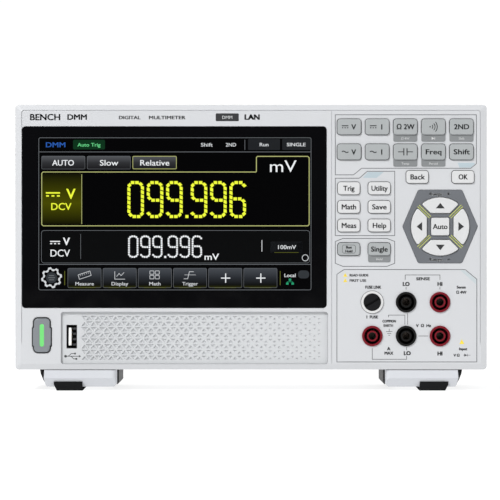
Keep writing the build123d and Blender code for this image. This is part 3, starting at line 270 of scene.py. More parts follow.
class Film:
    """Thin printed or lit shapes on a plane that faces -Y, in one mesh. Points are (x, z) in mm."""

    def __init__(self, y, thick=INK):
        self.mesh = bmesh.new()
        self.front, self.back = y - thick, y

    def _corner(self, point, y):
        return self.mesh.verts.new(Vector((point[0], y, point[1])) * MM)

    def sheet(self, points, cells):
        """Cells that share their corners, with walls round the outline of the whole only."""
        front = [self._corner(p, self.front) for p in points]
        back = [self._corner(p, self.back) for p in points]
        sides = set()
        for cell in cells:
            self.mesh.faces.new([front[i] for i in cell])
            self.mesh.faces.new([back[i] for i in reversed(cell)])
            sides.update(zip(cell, cell[1:] + cell[:1]))
        for a, b in sides:
            if (b, a) not in sides:
                self.mesh.faces.new((front[b], front[a], back[a], back[b]))

    def area(self, points):
        """A filled outline."""
        self.sheet(points, [list(range(len(points)))])

    def strip(self, one, other, closed):
        """The strip between two rows of points of the same length."""
        count = len(one)
        cells = []
        for i in range(count if closed else count - 1):
            j = (i + 1) % count
            cells.append([i, j, count + j, count + i])
        self.sheet(one + other, cells)

    def frame(self, x0, z0, x1, z1, radius, width):
        outer = rounded(x0, z0, x1, z1, radius)
        inner = rounded(x0 + width, z0 + width, x1 - width, z1 - width, max(radius - width, 0.02))
        self.strip(outer, inner, True)

    def line(self, points, width, closed=False):
        """A line of even width with mitred corners."""
        left, right = [], []
        count = len(points)
        for i, (x, z) in enumerate(points):
            before = points[i - 1] if (i or closed) else None
            after = points[(i + 1) % count] if (i < count - 1 or closed) else None
            turns = []
            for a, b in ((before, (x, z)), ((x, z), after)):
                if a is not None and b is not None:
                    turns.append(Vector((b[0] - a[0], b[1] - a[1])).normalized())
            way = sum(turns, Vector((0, 0))).normalized()
            side = Vector((-way.y, way.x))
            reach = width / 2 / max(0.3, abs(side.dot(Vector((-turns[0].y, turns[0].x)))))
            left.append((x + side.x * reach, z + side.y * reach))
            right.append((x - side.x * reach, z - side.y * reach))
        self.strip(right, left, closed)

    def disc(self, x, z, radius, steps=24):
        self.area(circle(x, z, radius, steps))

    def ring(self, x, z, outer, inner, steps=32):
        self.strip(circle(x, z, outer, steps), circle(x, z, inner, steps), True)

    def text(self, words, x, z, height, bold=0.0, width=None):
        """Centred lettering, in mm: height of a capital, bold for wider strokes, width of the whole."""
        curve = bpy.data.curves.new("lettering", "FONT")
        curve.body = words
        curve.align_x = "CENTER"
        curve.resolution_u = 3
        holder = bpy.data.objects.new("lettering", curve)
        flat = bpy.data.meshes.new_from_object(holder)
        bpy.data.objects.remove(holder)
        bpy.data.curves.remove(curve)
        scale = height / CAP_HEIGHT
        xs = [v.co.x for v in flat.vertices]
        stretch = (width - bold) / (max(xs) - min(xs)) if width else scale
        places = [(x + v.co.x * stretch, z + (v.co.y - CAP_HEIGHT / 2) * scale) for v in flat.vertices]
        cells = [list(polygon.vertices) for polygon in flat.polygons]
        bpy.data.meshes.remove(flat)
        signs = ((-1, -1), (1, -1), (-1, 1), (1, 1)) if bold else ((0, 0),)
        for sx, sz in signs:
            self.sheet([(px + sx * bold / 2, pz + sz * bold / 4) for px, pz in places], cells)

    def finish(self, name, material, body="root"):
        return place(name, self.mesh, material, body)


def place(name, mesh, material, body="root"):
    """Turns a bmesh into a piece that rides on a body."""
    bmesh.ops.recalc_face_normals(mesh, faces=mesh.faces)
    data = bpy.data.meshes.new(name)
    mesh.to_mesh(data)
    mesh.free()
    piece = bpy.data.objects.new(name, data)
    bpy.context.scene.collection.objects.link(piece)
    data.materials.append(material)
    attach(piece, body)
    return piece


def circle(x, z, radius, steps=24):
    turn = 2 * math.pi / steps
    return [(x + radius * math.cos(i * turn), z + radius * math.sin(i * turn)) for i in range(steps)]


def rounded(x0, z0, x1, z1, radius, steps=4):
    """Rounded rectangle, anticlockwise from the lower right corner."""
    points = []
    corners = ((x1 - radius, z0 + radius, -90), (x1 - radius, z1 - radius, 0),
               (x0 + radius, z1 - radius, 90), (x0 + radius, z0 + radius, 180))
    for cx, cz, start in corners:
        for i in range(steps + 1):
            angle = math.radians(start + 90 * i / steps)
            points.append((cx + radius * math.cos(angle), cz + radius * math.sin(angle)))
    return points


FLANGE = 0.8        # hidden flange round each key in the frame


def cap(node):
    """Left, bottom, right and top of a key's visible face."""
    lo, hi = box_mm(node)
    return lo.x + FLANGE, lo.z + FLANGE, hi.x - FLANGE, hi.z - FLANGE


def middle(node):
    lo, hi = box_mm(node)
    return (lo.x + hi.x) / 2, (lo.z + hi.z) / 2


# ------------------------------------------------------------------ trim panel with its moulded triangles
TRIM_LO, TRIM_HI = box_mm("texture_panel")
TRIM_SIDE, TRIM_LIFT = 1.9, 0.2     # hidden lip of the panel: at its sides and at its bottom edge
PIT_ROWS, PIT_COLUMNS = 8, 54
PIT_STEP, PIT_ROW = 2.49, 3.19              # half a triangle's base, and its height
PIT_EDGE, PIT_FOOT = 3.6, 1.8               # flat margins at the right and at the foot
PIT_BIG, PIT_SMALL = 0.80, 0.30             # size of a pit in its triangle at the left and at the right
USB_LO, USB_HI = box_mm("front_usb_socket")
USB_GAP = 0.1


def trim_panel():
    x0, x1 = TRIM_LO.x + TRIM_SIDE, TRIM_HI.x - TRIM_SIDE
    z0, z1 = TRIM_LO.z, TRIM_HI.z - TRIM_LIFT * 4
    outline = rounded(x0, z0, x1, z1, 1.5)
    gap = Vector((1, 0, 1)) * USB_GAP
    port_lo, port_hi = USB_LO - gap, USB_HI + gap
    port = [(port_lo.x, port_lo.z), (port_hi.x, port_lo.z), (port_hi.x, port_hi.z), (port_lo.x, port_hi.z)]
    pits = []
    left, foot = x1 - PIT_EDGE - PIT_COLUMNS * PIT_STEP, z0 + PIT_FOOT
    for row in range(PIT_ROWS):
        for column in range(PIT_COLUMNS):
            along = column / (PIT_COLUMNS - 1)
            size = PIT_BIG - (PIT_BIG - PIT_SMALL) * along
            points_up = (row + column) % 2 == 0
            cx = left + column * PIT_STEP + PIT_STEP / 2
            base = foot + row * PIT_ROW
            low, high = (base, base + PIT_ROW) if points_up else (base + PIT_ROW, base)
            third = low + (high - low) / 3
            corners = [(cx - PIT_STEP, low), (cx + PIT_STEP, low), (cx, high)]
            if not points_up:
                corners[0], corners[1] = corners[1], corners[0]
            pits.append([(cx + (x - cx) * size, third + (z - third) * size) for x, z in corners])
    points = outline + port + [p for pit in pits for p in pit]
    loops, first = [], 0
    for loop in [outline, port] + pits:
        loops.append(list(range(first, first + len(loop))))
        first += len(loop)
    verts, _, faces, _, _, sources = delaunay_2d_cdt([Vector(p) for p in points], [], loops, 1, 1e-6)
    mesh = bmesh.new()
    front = [mesh.verts.new(Vector((v.x, TRIM_LO.y, v.y)) * MM) for v in verts]
    for face, source in zip(faces, sources):
        if source == [0]:
            mesh.faces.new([front[i] for i in face])
    for pit in pits:
        cx, cz = sum(p[0] for p in pit) / 3, sum(p[1] for p in pit) / 3
        width = pit[1][0] - pit[0][0]
        depth = 0.10 + 0.19 * abs(width)
        rim = [mesh.verts.new(Vector((x, TRIM_LO.y, z)) * MM) for x, z in pit]
        floor = [mesh.verts.new(Vector((cx + (x - cx) * 0.5, TRIM_LO.y + depth, cz + (z - cz) * 0.5)) * MM)
                 for x, z in pit]
        mesh.faces.new(floor)
        for i in range(3):
            j = (i + 1) % 3
            mesh.faces.new((rim[i], rim[j], floor[j], floor[i]))
    bmesh.ops.remove_doubles(mesh, verts=mesh.verts, dist=1e-7)
    for loop in (outline, port):
        near = [mesh.verts.new(Vector((x, TRIM_LO.y, z)) * MM) for x, z in loop]
        far = [mesh.verts.new(Vector((x, TRIM_HI.y, z)) * MM) for x, z in loop]
        for i in range(len(loop)):
            j = (i + 1) % len(loop)
            mesh.faces.new((near[i], near[j], far[j], far[i]))
    bmesh.ops.remove_doubles(mesh, verts=mesh.verts, dist=1e-7)
    piece = place("trim_panel_pits", mesh, TRIM)
    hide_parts("texture_panel")


trim_panel()


# ------------------------------------------------------------------ front USB port: shell, tongue and springs
def slab(mesh, x0, x1, y0, y1, z0, z1):
    """A box between the given places, in mm."""
    corners = [mesh.verts.new(Vector((x, y, z)) * MM) for x in (x0, x1) for y in (y0, y1) for z in (z0, z1)]
    for a, b, c, d in ((0, 1, 3, 2), (4, 6, 7, 5), (0, 4, 5, 1), (2, 3, 7, 6), (0, 2, 6, 4), (1, 5, 7, 3)):
        mesh.faces.new((corners[a], corners[b], corners[c], corners[d]))


def solid(name, material, slabs, soften=0.0):
    """Boxes in one piece, with edges softened by so many mm."""
    mesh = bmesh.new()
    for limits in slabs:
        slab(mesh, *limits)
    if soften:
        bmesh.ops.bevel(mesh, geom=list(mesh.edges), offset=soften * MM, segments=2, affect="EDGES")
    return place(name, mesh, material)




def usb_port():
    y0, y1, wall = USB_LO.y, USB_HI.y, 0.3
    # painted shade: the shell is near-black for the shade inside the port
    shell = solid("usb_shell", SHELL_PAINTED_SHADE, [
        (USB_LO.x, USB_LO.x + wall, y0, y1, USB_LO.z, USB_HI.z),
        (USB_HI.x - wall, USB_HI.x, y0, y1, USB_LO.z, USB_HI.z),
        (USB_LO.x + wall, USB_HI.x - wall, y0, y1, USB_LO.z, USB_LO.z + wall),
        (USB_LO.x + wall, USB_HI.x - wall, y0, y1, USB_HI.z - wall, USB_HI.z),
        (USB_LO.x + wall, USB_HI.x - wall, y1 - 1.5, y1, USB_LO.z + wall, USB_HI.z - wall),
    ])
    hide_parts("front_usb_socket")
    tongue_x, half = USB_LO.x + 1.1, 5.0
    zc = (USB_LO.z + USB_HI.z) / 2
    solid("usb_tongue", TONGUE, [(tongue_x, tongue_x + 1.6, y0 + 0.9, y1 - 1.5, zc - half, zc + half)],
          soften=0.15)
    solid("usb_contacts", BRASS, [
        (tongue_x + 1.6, tongue_x + 1.7, y0 + 1.6, y1 - 2.0, zc + s - 0.5, zc + s + 0.5)
        for s in (-3.5, -1.0, 1.0, 3.5)])
    solid("usb_springs", SPRING, [
        (USB_HI.x - wall - 1.9, USB_HI.x - wall - 0.1, y0 + 1.2, y0 + 6.0, zc + s - 0.55, zc + s + 0.55)
        for s in (-4.5, -1.5, 1.5, 4.5)], soften=0.1)


usb_port()

# ------------------------------------------------------------------ printing on the front panel
EDGE = {name: cap(name) for name in ("key_dc_volts", "key_second", "key_shift", "key_ac_volts", "key_trigger",
                                     "key_utility", "key_help", "key_run_hold", "key_single")}
JACK_LO, JACK_HI = box_mm("red_sockets")
HEX_HALF = 7.0                      # half of the nut behind a socket, across corners
PITCH = 19.05                       # spacing of the sockets
JACK_X0 = JACK_LO.x + HEX_HALF
JACK_Z0 = (JACK_LO.z + JACK_HI.z - PITCH) / 2


def jack(column, row):
    return JACK_X0 + column * PITCH, JACK_Z0 + row * PITCH


def panel_lines():
    film = Film(PANEL_Y)
    weight = 0.38
    left = EDGE["key_dc_volts"][0] - 1.15
    right = EDGE["key_second"][2] + 1.75
    top = EDGE["key_dc_volts"][3] + 2.4
    shelf = EDGE["key_shift"][1] - 4.8
    low = shelf - 3.7
    step_x = left + 10.3
    film.line([(left, top), (right, top), (right, shelf + 2.6), (right - 3.1, shelf), (step_x + 4.5, shelf),
               (step_x, low), (left, low)], weight, closed=True)
    menu_right = EDGE["key_utility"][2] + 2.5
    menu_low = EDGE["key_help"][1] - 2.2
    film.line([(left, low - 1.9), (step_x + 3.2, low - 1.9), (step_x + 7.7, shelf - 1.7),
               (menu_right, shelf - 1.7), (menu_right, menu_low), (left, menu_low)], weight, closed=True)
    run_top, run_low = menu_low - 1.6, EDGE["key_run_hold"][1] - 6.2
    film.line([(left + 4.3, run_top), (menu_right - 4.3, run_top), (menu_right, run_top - 1.7),
               (menu_right, run_low + 1.7), (menu_right - 4.3, run_low), (left + 4.3, run_low),
               (left, run_low + 1.7), (left, run_top - 1.7)], weight, closed=True)
    jack_top, jack_low, jack_left = run_low - 1.8, JACK_Z0 - 14.6, left + 0.9
    film.line([(jack_left + 4.0, jack_top), (right - 6.3, jack_top), (right + 0.25, jack_top - 5.4),
               (right + 0.25, jack_low), (jack_left, jack_low), (jack_left, jack_top - 2.7)],
              weight, closed=True)
    film.finish("print_frames", INK_LINE)

    accent = Film(PANEL_Y)
    accent.area([(step_x + 8.0, shelf - 2.1), (step_x + 5.2, shelf - 5.4), (step_x + 13.0, shelf - 5.4),
                 (step_x + 17.0, shelf - 2.1)])
    accent.area([(right - 9.5, shelf + 0.4), (right - 3.2, shelf + 0.4), (right - 0.6, shelf + 2.6),
                 (right - 1.6, shelf + 3.1), (right - 10.5, shelf + 3.1)])
    accent.finish("print_accents", INK_CYAN)
    corner = Film(PANEL_Y)
    corner.area([(right - 6.6, jack_top - 0.4), (right - 0.1, jack_top - 5.6), (right - 0.1, jack_top - 8.4),
                 (right - 9.0, jack_top - 0.4)])
    corner.finish("print_corner", INK_SHADE)


panel_lines()

STRIP_WORDS = {"key_ohms": "Ω 4W", "key_continuity": None, "key_second": "Shift", "key_capacitance": "Temp",
               "key_frequency": "Period", "key_single": "Hold"}
STRIP_THICK = 0.25


def label_strips():
    """Raised grey strips under some keys with their second function; None stands for a diode symbol."""
    film = Film(PANEL_Y, STRIP_THICK)
    pale = Film(PANEL_Y - STRIP_THICK)
    for name, words in STRIP_WORDS.items():
        x0, z0, x1, _ = cap(name)
        film.area(rounded(x0 - 0.1, z0 - 3.9, x1 + 0.1, z0 + 2.0, 0.9))
        x, z = (x0 + x1) / 2, z0 - 2.1
        if words:
            pale.text(words, x, z, 1.35)
        else:
            pale.area([(x - 1.0, z - 0.8), (x + 0.6, z), (x - 1.0, z + 0.8)])
            pale.line([(x + 0.8, z - 0.8), (x + 0.8, z + 0.8)], 0.25)
    film.finish("print_strips", INK_STRIP)
    pale.finish("print_strip_text", INK_PALE)


label_strips()


def terminal_print():
    """Lines, names and notes round the sockets; LO and HI are named after the jacks' two right columns."""
    thin, bold = Film(PANEL_Y), Film(PANEL_Y)
    fuse_x, fuse_z = jack(0, 1)
    lo_x, lo_z = jack(1, 1)
    hi_x, _ = jack(2, 1)
    amp_x, in_z = jack(0, 0)
    earth_x, earth_z = lo_x - 9.5, in_z + 2.5
    side_x = hi_x + 12.0
    for points in (
            [(lo_x, lo_z + 8.6), (lo_x, lo_z + 7.2)],
            [(hi_x, lo_z + 8.6), (hi_x, lo_z + 7.2)],
            [(lo_x - 0.5, lo_z + 12.6), (lo_x - 0.5, lo_z + 15.3), (hi_x, lo_z + 15.3), (hi_x, lo_z + 12.6)],
            [(lo_x + 0.85, lo_z - 6.2), (lo_x + 0.85, lo_z - 12.6)],
            [(lo_x - 0.7, lo_z - 12.6), (lo_x - 0.7, lo_z - 7.3), (lo_x - 9.9, lo_z - 7.3),
             (lo_x - 9.9, lo_z - 8.5)],
            [(lo_x + 6.9, in_z), (hi_x - 6.6, in_z)],
            [(amp_x, in_z - 6.9), (amp_x, in_z - 13.1), (lo_x + 0.3, in_z - 13.1), (lo_x + 0.3, in_z - 11.2)],
            [(lo_x + 0.3, in_z - 6.3), (lo_x + 0.3, in_z - 8.0)],
            [(earth_x, earth_z + 1.6), (earth_x, earth_z)]):
        thin.line(points, 0.3)
    for drop, half in ((0.0, 1.8), (1.1, 1.15), (2.1, 0.5)):
        thin.line([(earth_x - half, earth_z - drop), (earth_x + half, earth_z - drop)], 0.3)
    for words, x, z in (("LO", lo_x, lo_z + 10.3), ("LO", lo_x + 0.6, in_z - 9.6),
                        ("HI", hi_x, lo_z + 10.3), ("HI", hi_x, in_z - 9.8)):
        bold.text(words, x, z, 2.2, bold=0.36)
    for words, x, z, height, heavy, width in (
            ("SENSE", (lo_x + hi_x) / 2, lo_z + 13.2, 1.7, 0.24, 7.8),
            ("FUSE LINK", fuse_x + 0.5, fuse_z + 8.5, 1.7, 0.24, 9.0),
            ("I  FUSE", fuse_x, fuse_z - 8.3, 1.7, 0.24, 6.6),
            ("V  Ω  Hz", (lo_x + hi_x) / 2 + 0.3, in_z + 5.9, 1.7, 0.24, 8.6),
            ("A", amp_x + 9.3, in_z - 7.1, 1.9, 0.24, None),
            ("MAX", amp_x + 9.3, in_z - 9.6, 1.7, 0.24, 5.0),
            ("COMMON", earth_x, earth_z + 5.9, 1.5, 0.22, 7.6),
            ("EARTH", earth_x - 0.5, earth_z + 3.4, 1.5, 0.22, 5.4),
            ("Sense", side_x, lo_z + 8.5, 1.6, 0.22, None),
            ("Ω 4W", side_x, lo_z + 5.6, 1.6, 0.22, None),
            ("Input", side_x + 1.0, in_z - 7.2, 1.6, 0.22, None),
            ("V Ω", side_x - 2.6, in_z - 10.8, 1.5, 0.22, None)):
        thin.text(words, x, z, height, heavy, width)
    thin.line([(side_x + 1.2, in_z - 10.8), (side_x + 5.2, in_z - 10.8)], 0.2)
    thin.area([(side_x + 1.7, in_z - 11.6), (side_x + 3.3, in_z - 10.8), (side_x + 1.7, in_z - 10.0)])
    thin.line([(side_x + 3.5, in_z - 11.6), (side_x + 3.5, in_z - 10.0)], 0.2)
    thin.finish("print_terminal_lines", INK_GREY)
    bold.finish("print_terminal_names", INK_DARK)
    marks = Film(PANEL_Y)
    marks.area([(side_x - 1.1, in_z - 4.5), (side_x + 1.7, in_z - 4.5), (side_x + 0.3, in_z - 1.9)])
    notes = Film(PANEL_Y)
    x = fuse_x - 15.2
    for words, z, width in (("READ GUIDE", fuse_z + 14.5, 10.6), ("FIRST USE", fuse_z + 11.5, 9.4)):
        marks.area([(x - 1.15, z - 0.2), (x + 1.15, z - 0.2), (x, z + 1.9)])
        notes.text(words, x + 2.4 + width / 2, z + 0.7, 1.4, 0.16, width)
    marks.finish("print_yellow_marks", INK_YELLOW)
    notes.finish("print_notes", INK_GREY)


terminal_print()

RING_KEYS = ("key_up", "key_left", "key_down", "key_right")
KEY_NAMES = [name for name in NODES if name.startswith("key_") and name not in ("key_board", *RING_KEYS)]
# painted shade: the dark sheet round a key starts and ends so far from its edge
GAP_IN, GAP_OUT = 0.05, 0.26        # the dark outline round a key starts and ends so far from its edge


def power_edge(grow):
    """Outline of the power button round its centre, grown by so many mm: a bar with a wider middle."""
    grip, drop, corner = 0.7, 0.9, 2.2 + grow
    x0, z0, x1, z1 = cap("power_button")
    wide, tall, short = (x1 - x0) / 2 - grip + grow, (z1 - z0) / 2 + grow, 4.6 + grow
    half = []
    for k in range(7):
        angle = math.radians(90 - 15 * k)
        half.append((wide - corner + corner * math.cos(angle), tall - corner + corner * math.sin(angle)))
    half += [(wide, short + grip - drop), (wide + grip, short - drop), (wide + grip, -short - drop),
             (wide, -short - grip - drop)]
    for k in range(7):
        angle = math.radians(-15 * k)
        half.append((wide - corner + corner * math.cos(angle), corner - tall + corner * math.sin(angle)))
    return half + [(-u, v) for u, v in reversed(half)]


def gap_shade():
    """Painted shade: dark sheets over the gap round each key and the power button, and a ring of painted
    shadow round the fuse holder.
    """
    film = Film(PANEL_Y, 0.03)
    for name in KEY_NAMES:
        x0, z0, x1, z1 = cap(name)
        corner = 1.0 if name == "key_auto" else 1.6
        outer, inner = (rounded(x0 - grow, z0 - grow, x1 + grow, z1 + grow, corner + grow)
                        for grow in (GAP_OUT, GAP_IN))
        film.strip(outer, inner, True)
    x, z = middle("power_button")
    outer, inner = ([(x + u, z + v) for u, v in power_edge(grow)] for grow in (0.6, GAP_IN))
    film.strip(outer, inner, True)
    film.finish("key_gap_painted_shade", GAP_SHADE)
    # painted shadow: a dark ring round the fuse holder where its shadow falls
    shadow_ring = Film(PANEL_Y, 0.12)
    fuse_x, fuse_z = jack(0, 1)
    shadow_ring.ring(fuse_x, fuse_z, 6.5, 6.2, 48)
    shadow_ring.finish("fuse_painted_shadow_ring", GAP_SHADE)


gap_shade()


def top_strip():
    film = Film(PANEL_Y)
    z = GLASS_HI.z + 5.1
    for words, across, lift, height, bold, width in (
            ("DIGITAL", 60.5, 0.0, 1.95, 0.2, 12.2), ("MULTIMETER", 81.6, 0.0, 1.95, 0.2, 20.6),
            ("BENCH", 13.0, 0.3, 3.6, 0.3, 17.0), ("DMM", 31.0, 0.3, 3.2, 0.3, 11.0),
            ("LAN", 129.5, 0.3, 3.0, 0.5, 8.6)):
        film.text(words, GLASS_LO.x + across, z + lift, height, bold, width)
    film.finish("print_title", INK_DARK)
    badge = Film(PANEL_Y)
    x = GLASS_LO.x + 115.5
    badge.area(rounded(x - 6.5, z - 2.1, x + 6.5, z + 2.3, 0.6))
    badge.finish("print_badge", INK_DARK)
    words = Film(PANEL_Y - INK)
    words.text("DMM", x, z + 0.1, 1.9)
    words.finish("print_badge_text", INK_PALE)


top_strip()


# ------------------------------------------------------------------ key legends
def dc_mark(film, x, z, wide, weight):
    film.line([(x - wide / 2, z + weight), (x + wide / 2, z + weight)], weight)
    for k in (-1, 0, 1):
        middle_x = x + k * wide * 0.38
        film.line([(middle_x - wide * 0.10, z - weight), (middle_x + wide * 0.10, z - weight)], weight)


def ac_mark(film, x, z, wide, weight):
    wave = [(x + wide * (t / 10 - 0.5), z + wide * 0.11 * math.sin(2 * math.pi * t / 10)) for t in range(11)]
    film.line(wave, weight)


LEGENDS = {     # words and their width in mm
    "key_second": ("2ND", 8.5), "key_frequency": ("Freq", 8.9), "key_shift": ("Shift", 9.2),
    "key_ohms": ("Ω 2W", 10.0), "key_trigger": ("Trig", 6.4), "key_utility": ("Utility", 9.2),
    "key_math": ("Math", 8.2), "key_save": ("Save", 8.2), "key_measure": ("Meas", 8.3),
    "key_help": ("Help", 7.6), "key_single": ("Single", 9.4), "key_back": ("Back", 8.2),
    "key_ok": ("OK", 5.2), "key_auto": ("Auto", 8.3),
}


def legend(film, name):
    """Ends the film of a key's printing, which rides on that key."""
    film.finish(name.replace("key_", "legend_"), INK_DARK, name)


def key_legends():
    for name, (words, width) in LEGENDS.items():
        x, z = middle(name)
        film = Film(KEY_Y)
        film.text(words, x, z + 0.1, 2.95, 0.2, width)
        legend(film, name)
    for name, mark, letter in (("key_dc_volts", dc_mark, "V"), ("key_dc_current", dc_mark, "I"),
                               ("key_ac_volts", ac_mark, "V"), ("key_ac_current", ac_mark, "I")):
        x, z = middle(name)
        film = Film(KEY_Y)
        mark(film, x - 2.3, z, 3.7, 0.56)
        film.text(letter, x + 2.5, z, 3.0, 0.22)
        legend(film, name)
    x, z = middle("key_continuity")
    film = Film(KEY_Y)
    x -= 1.9
    film.disc(x, z, 0.4, 12)
    for radius in (1.5, 2.75, 4.0):
        angles = [math.radians(-42 + 8.4 * k) for k in range(11)]
        film.line([(x + radius * math.cos(a), z + radius * math.sin(a)) for a in angles], 0.46)
    legend(film, "key_continuity")
    x, z = middle("key_capacitance")
    film = Film(KEY_Y)
    for side in (-1, 1):
        film.line([(x + side * 0.9, z - 2.0), (x + side * 0.9, z + 2.0)], 0.58)
        film.line([(x + side * 0.9, z), (x + side * 4.2, z)], 0.46)
    legend(film, "key_capacitance")
    x, z = middle("key_run_hold")
    film = Film(KEY_Y)
    film.frame(x - 3.8, z - 2.4, x + 3.8, z + 2.4, 1.2, 0.2)
    film.text("Run", x, z + 1.1, 1.5, 0.2)
    film.text("Hold", x, z - 1.1, 1.5, 0.2)
    legend(film, "key_run_hold")
    x, z = middle("key_auto")
    for quarter, name in enumerate(RING_KEYS):
        film = Film(KEY_Y)
        cos, sin = math.cos(quarter * math.pi / 2), math.sin(quarter * math.pi / 2)
        film.area([(x + u * cos - v * sin, z + u * sin + v * cos)
                   for u, v in ((-2.5, 10.2), (2.5, 10.2), (0, 13.3))])
        legend(film, name)


key_legends()


def nav_print():
    x, z = middle("nav_plate")
    plate_y = box_mm("nav_plate")[0].y
    green = Film(plate_y)
    for sx in (-1, 1):
        for sz in (-1, 1):
            for shift in (-0.42, 0.42):
                green.line([(x + sx * (5.6 + shift), z + sz * (5.2 - shift)),
                            (x + sx * (12.3 + shift), z + sz * (11.7 - shift))], 0.36)
    green.finish("print_nav_lines", INK_GREEN)
    pale = Film(plate_y)
    for sz, sign in ((1, "+"), (-1, "−")):
        pale.text("Range", x - 2.4, z + sz * 18.4, 1.7, 0.2, 7.2)
        pale.text(sign, x + 4.6, z + sz * 18.4, 2.4, 0.2)
    pale.finish("print_nav_text", INK_PALE)


nav_print()


def usb_mark():
    """Plain port symbol under the USB socket: a line with an arrow head and two branches."""
    film = Film(TRIM_LO.y)
    x, z = (USB_LO.x + USB_HI.x) / 2 + 0.6, USB_LO.z - 4.5
    film.line([(x - 4.0, z), (x + 3.8, z)], 0.36)
    film.disc(x - 4.1, z, 0.75, 16)
    film.area([(x + 3.5, z - 0.65), (x + 4.7, z), (x + 3.5, z + 0.65)])
    film.line([(x - 2.6, z), (x - 0.8, z + 1.5), (x + 1.0, z + 1.5)], 0.36)
    film.line([(x - 1.0, z), (x + 0.6, z - 1.5), (x + 1.9, z - 1.5)], 0.36)
    film.disc(x + 1.3, z + 1.5, 0.55, 12)
    film.area([(x + 1.5, z - 2.0), (x + 2.5, z - 2.0), (x + 2.5, z - 1.0), (x + 1.5, z - 1.0)])
    film.finish("print_usb_mark", INK_GREY)


usb_mark()

# ------------------------------------------------------------------ picture on the display
SCREEN_W, SCREEN_H = 154.1, 86.5            # lit area of a 7 inch panel
SCREEN_LEFT = GLASS_LO.x + 9.0
SCREEN_TOP = GLASS_HI.z - 5.9
LAYER = 0.02


def screen_film(layer):
    """A film on the glass; higher layers lie in front."""
    return Film(GLASS_LO.y - layer * LAYER, LAYER)


def at(u, v):
    """A place on the display, u mm from its left and v mm from its top."""
    return SCREEN_LEFT + u, SCREEN_TOP - v


def tile(film, u0, v0, u1, v1, radius):
    x0, z1 = at(u0, v0)
    x1, z0 = at(u1, v1)
    film.area(rounded(x0, z0, x1, z1, radius))


def outline(film, u0, v0, u1, v1, radius, width):
    x0, z1 = at(u0, v0)
    x1, z0 = at(u1, v1)
    film.frame(x0, z0, x1, z1, radius, width)


def tiles(name, material, layer, *boxes):
    """A piece made of tiles, each given by its left, top, right, bottom and corner radius."""
    film = screen_film(layer)
    for box in boxes:
        tile(film, *box)
    film.finish(name, material)


def write(film, *rows):
    """Words on the display, each with its place, capital height, boldness and width or None."""
    for words, u, v, height, bold, width in rows:
        film.text(words, *at(u, v), height, bold, width)


def route(film, points, width, closed=False):
    film.line([at(u, v) for u, v in points], width, closed)


def glyph(kind, wide, high, cut):
    """Centre line of a display digit as points from its lower left corner, and whether it closes."""
    waist = high * 0.48
    if kind == "0":
        return [(cut, 0), (wide - cut, 0), (wide, cut), (wide, high - cut), (wide - cut, high), (cut, high),
                (0, high - cut), (0, cut)], True
    nine = [(0, cut * 1.5), (0, cut), (cut, 0), (wide - cut, 0), (wide, cut), (wide, high - cut),
            (wide - cut, high), (cut, high), (0, high - cut), (0, waist + cut), (cut, waist),
            (wide - cut * 0.6, waist)]
    if kind == "9":
        return nine, False
    return [(wide - u, high - v) for u, v in nine], False


def stitches(points, closed, step):
    """Evenly spaced places and directions along a polyline."""
    loop = points + points[:1] if closed else points
    legs = [(Vector(a), Vector(b)) for a, b in zip(loop, loop[1:])]
    total = sum((b - a).length for a, b in legs)
    count = max(1, round(total / step))
    spots = []
    for k in range(count):
        reach = (k + 0.5) * total / count
        for a, b in legs:
            if reach <= (b - a).length:
                spots.append((a + (b - a).normalized() * reach, (b - a).normalized()))
                break
            reach -= (b - a).length
    return spots


def readout(film, u, v, text, wide, high, weight, space, point, style):
    """Big digits made of stitches, small ones of dots; point is the extra room of a decimal point."""
    across = u + weight / 2
    for letter in text:
        if letter == ".":
            x, z = at(across - weight - space + (space + point) * 0.53, v + high)
            film.area([(x, z), (x + weight, z), (x + weight, z + weight), (x, z + weight)])
            across += point
            continue
        x, z = at(across, v + high - weight / 2)
        points, closed = glyph(letter, wide - weight, high - weight, (wide - weight) * 0.24)
        step = weight * (1.47 if style == "rope" else 1.04)
        for spot, way in stitches(points, closed, step):
            side = Vector((-way.y, way.x))
            px, pz = x + spot.x, z + spot.y
            if style == "rope":
                lean = way * weight * 0.17 * abs(way.y)
                reach = way * step * 0.40
                corners = [-reach - side * weight / 2 - lean, reach - side * weight / 2 - lean,
                           reach + side * weight / 2 + lean, -reach + side * weight / 2 + lean]
                film.area([(px + c.x, pz + c.y) for c in corners])
            else:
                film.disc(px, pz, weight * 0.5, 8)
        across += wide + space


def cog_point(x, z, turn, crest, root):
    """Point number turn of 48 on the edge of an eight-toothed cog."""
    angle = 2 * math.pi * (turn + 0.5) / 48
    radius = crest if turn % 6 in (0, 1, 2) else root
    return x + radius * math.cos(angle), z + radius * math.sin(angle)


DOCK = [(16.7 + 19.8 * k, 73.8, 35.6 + 19.8 * k, 84.9) for k in range(6)]       # buttons at the foot
TABS = ((2.0, 10.7, 26.5, 18.1), (27.6, 10.7, 52.1, 18.1), (53.2, 10.7, 78.0, 18.1))
FIELD = (1.8, 52.5, 153.0, 71.0)                                                # second reading


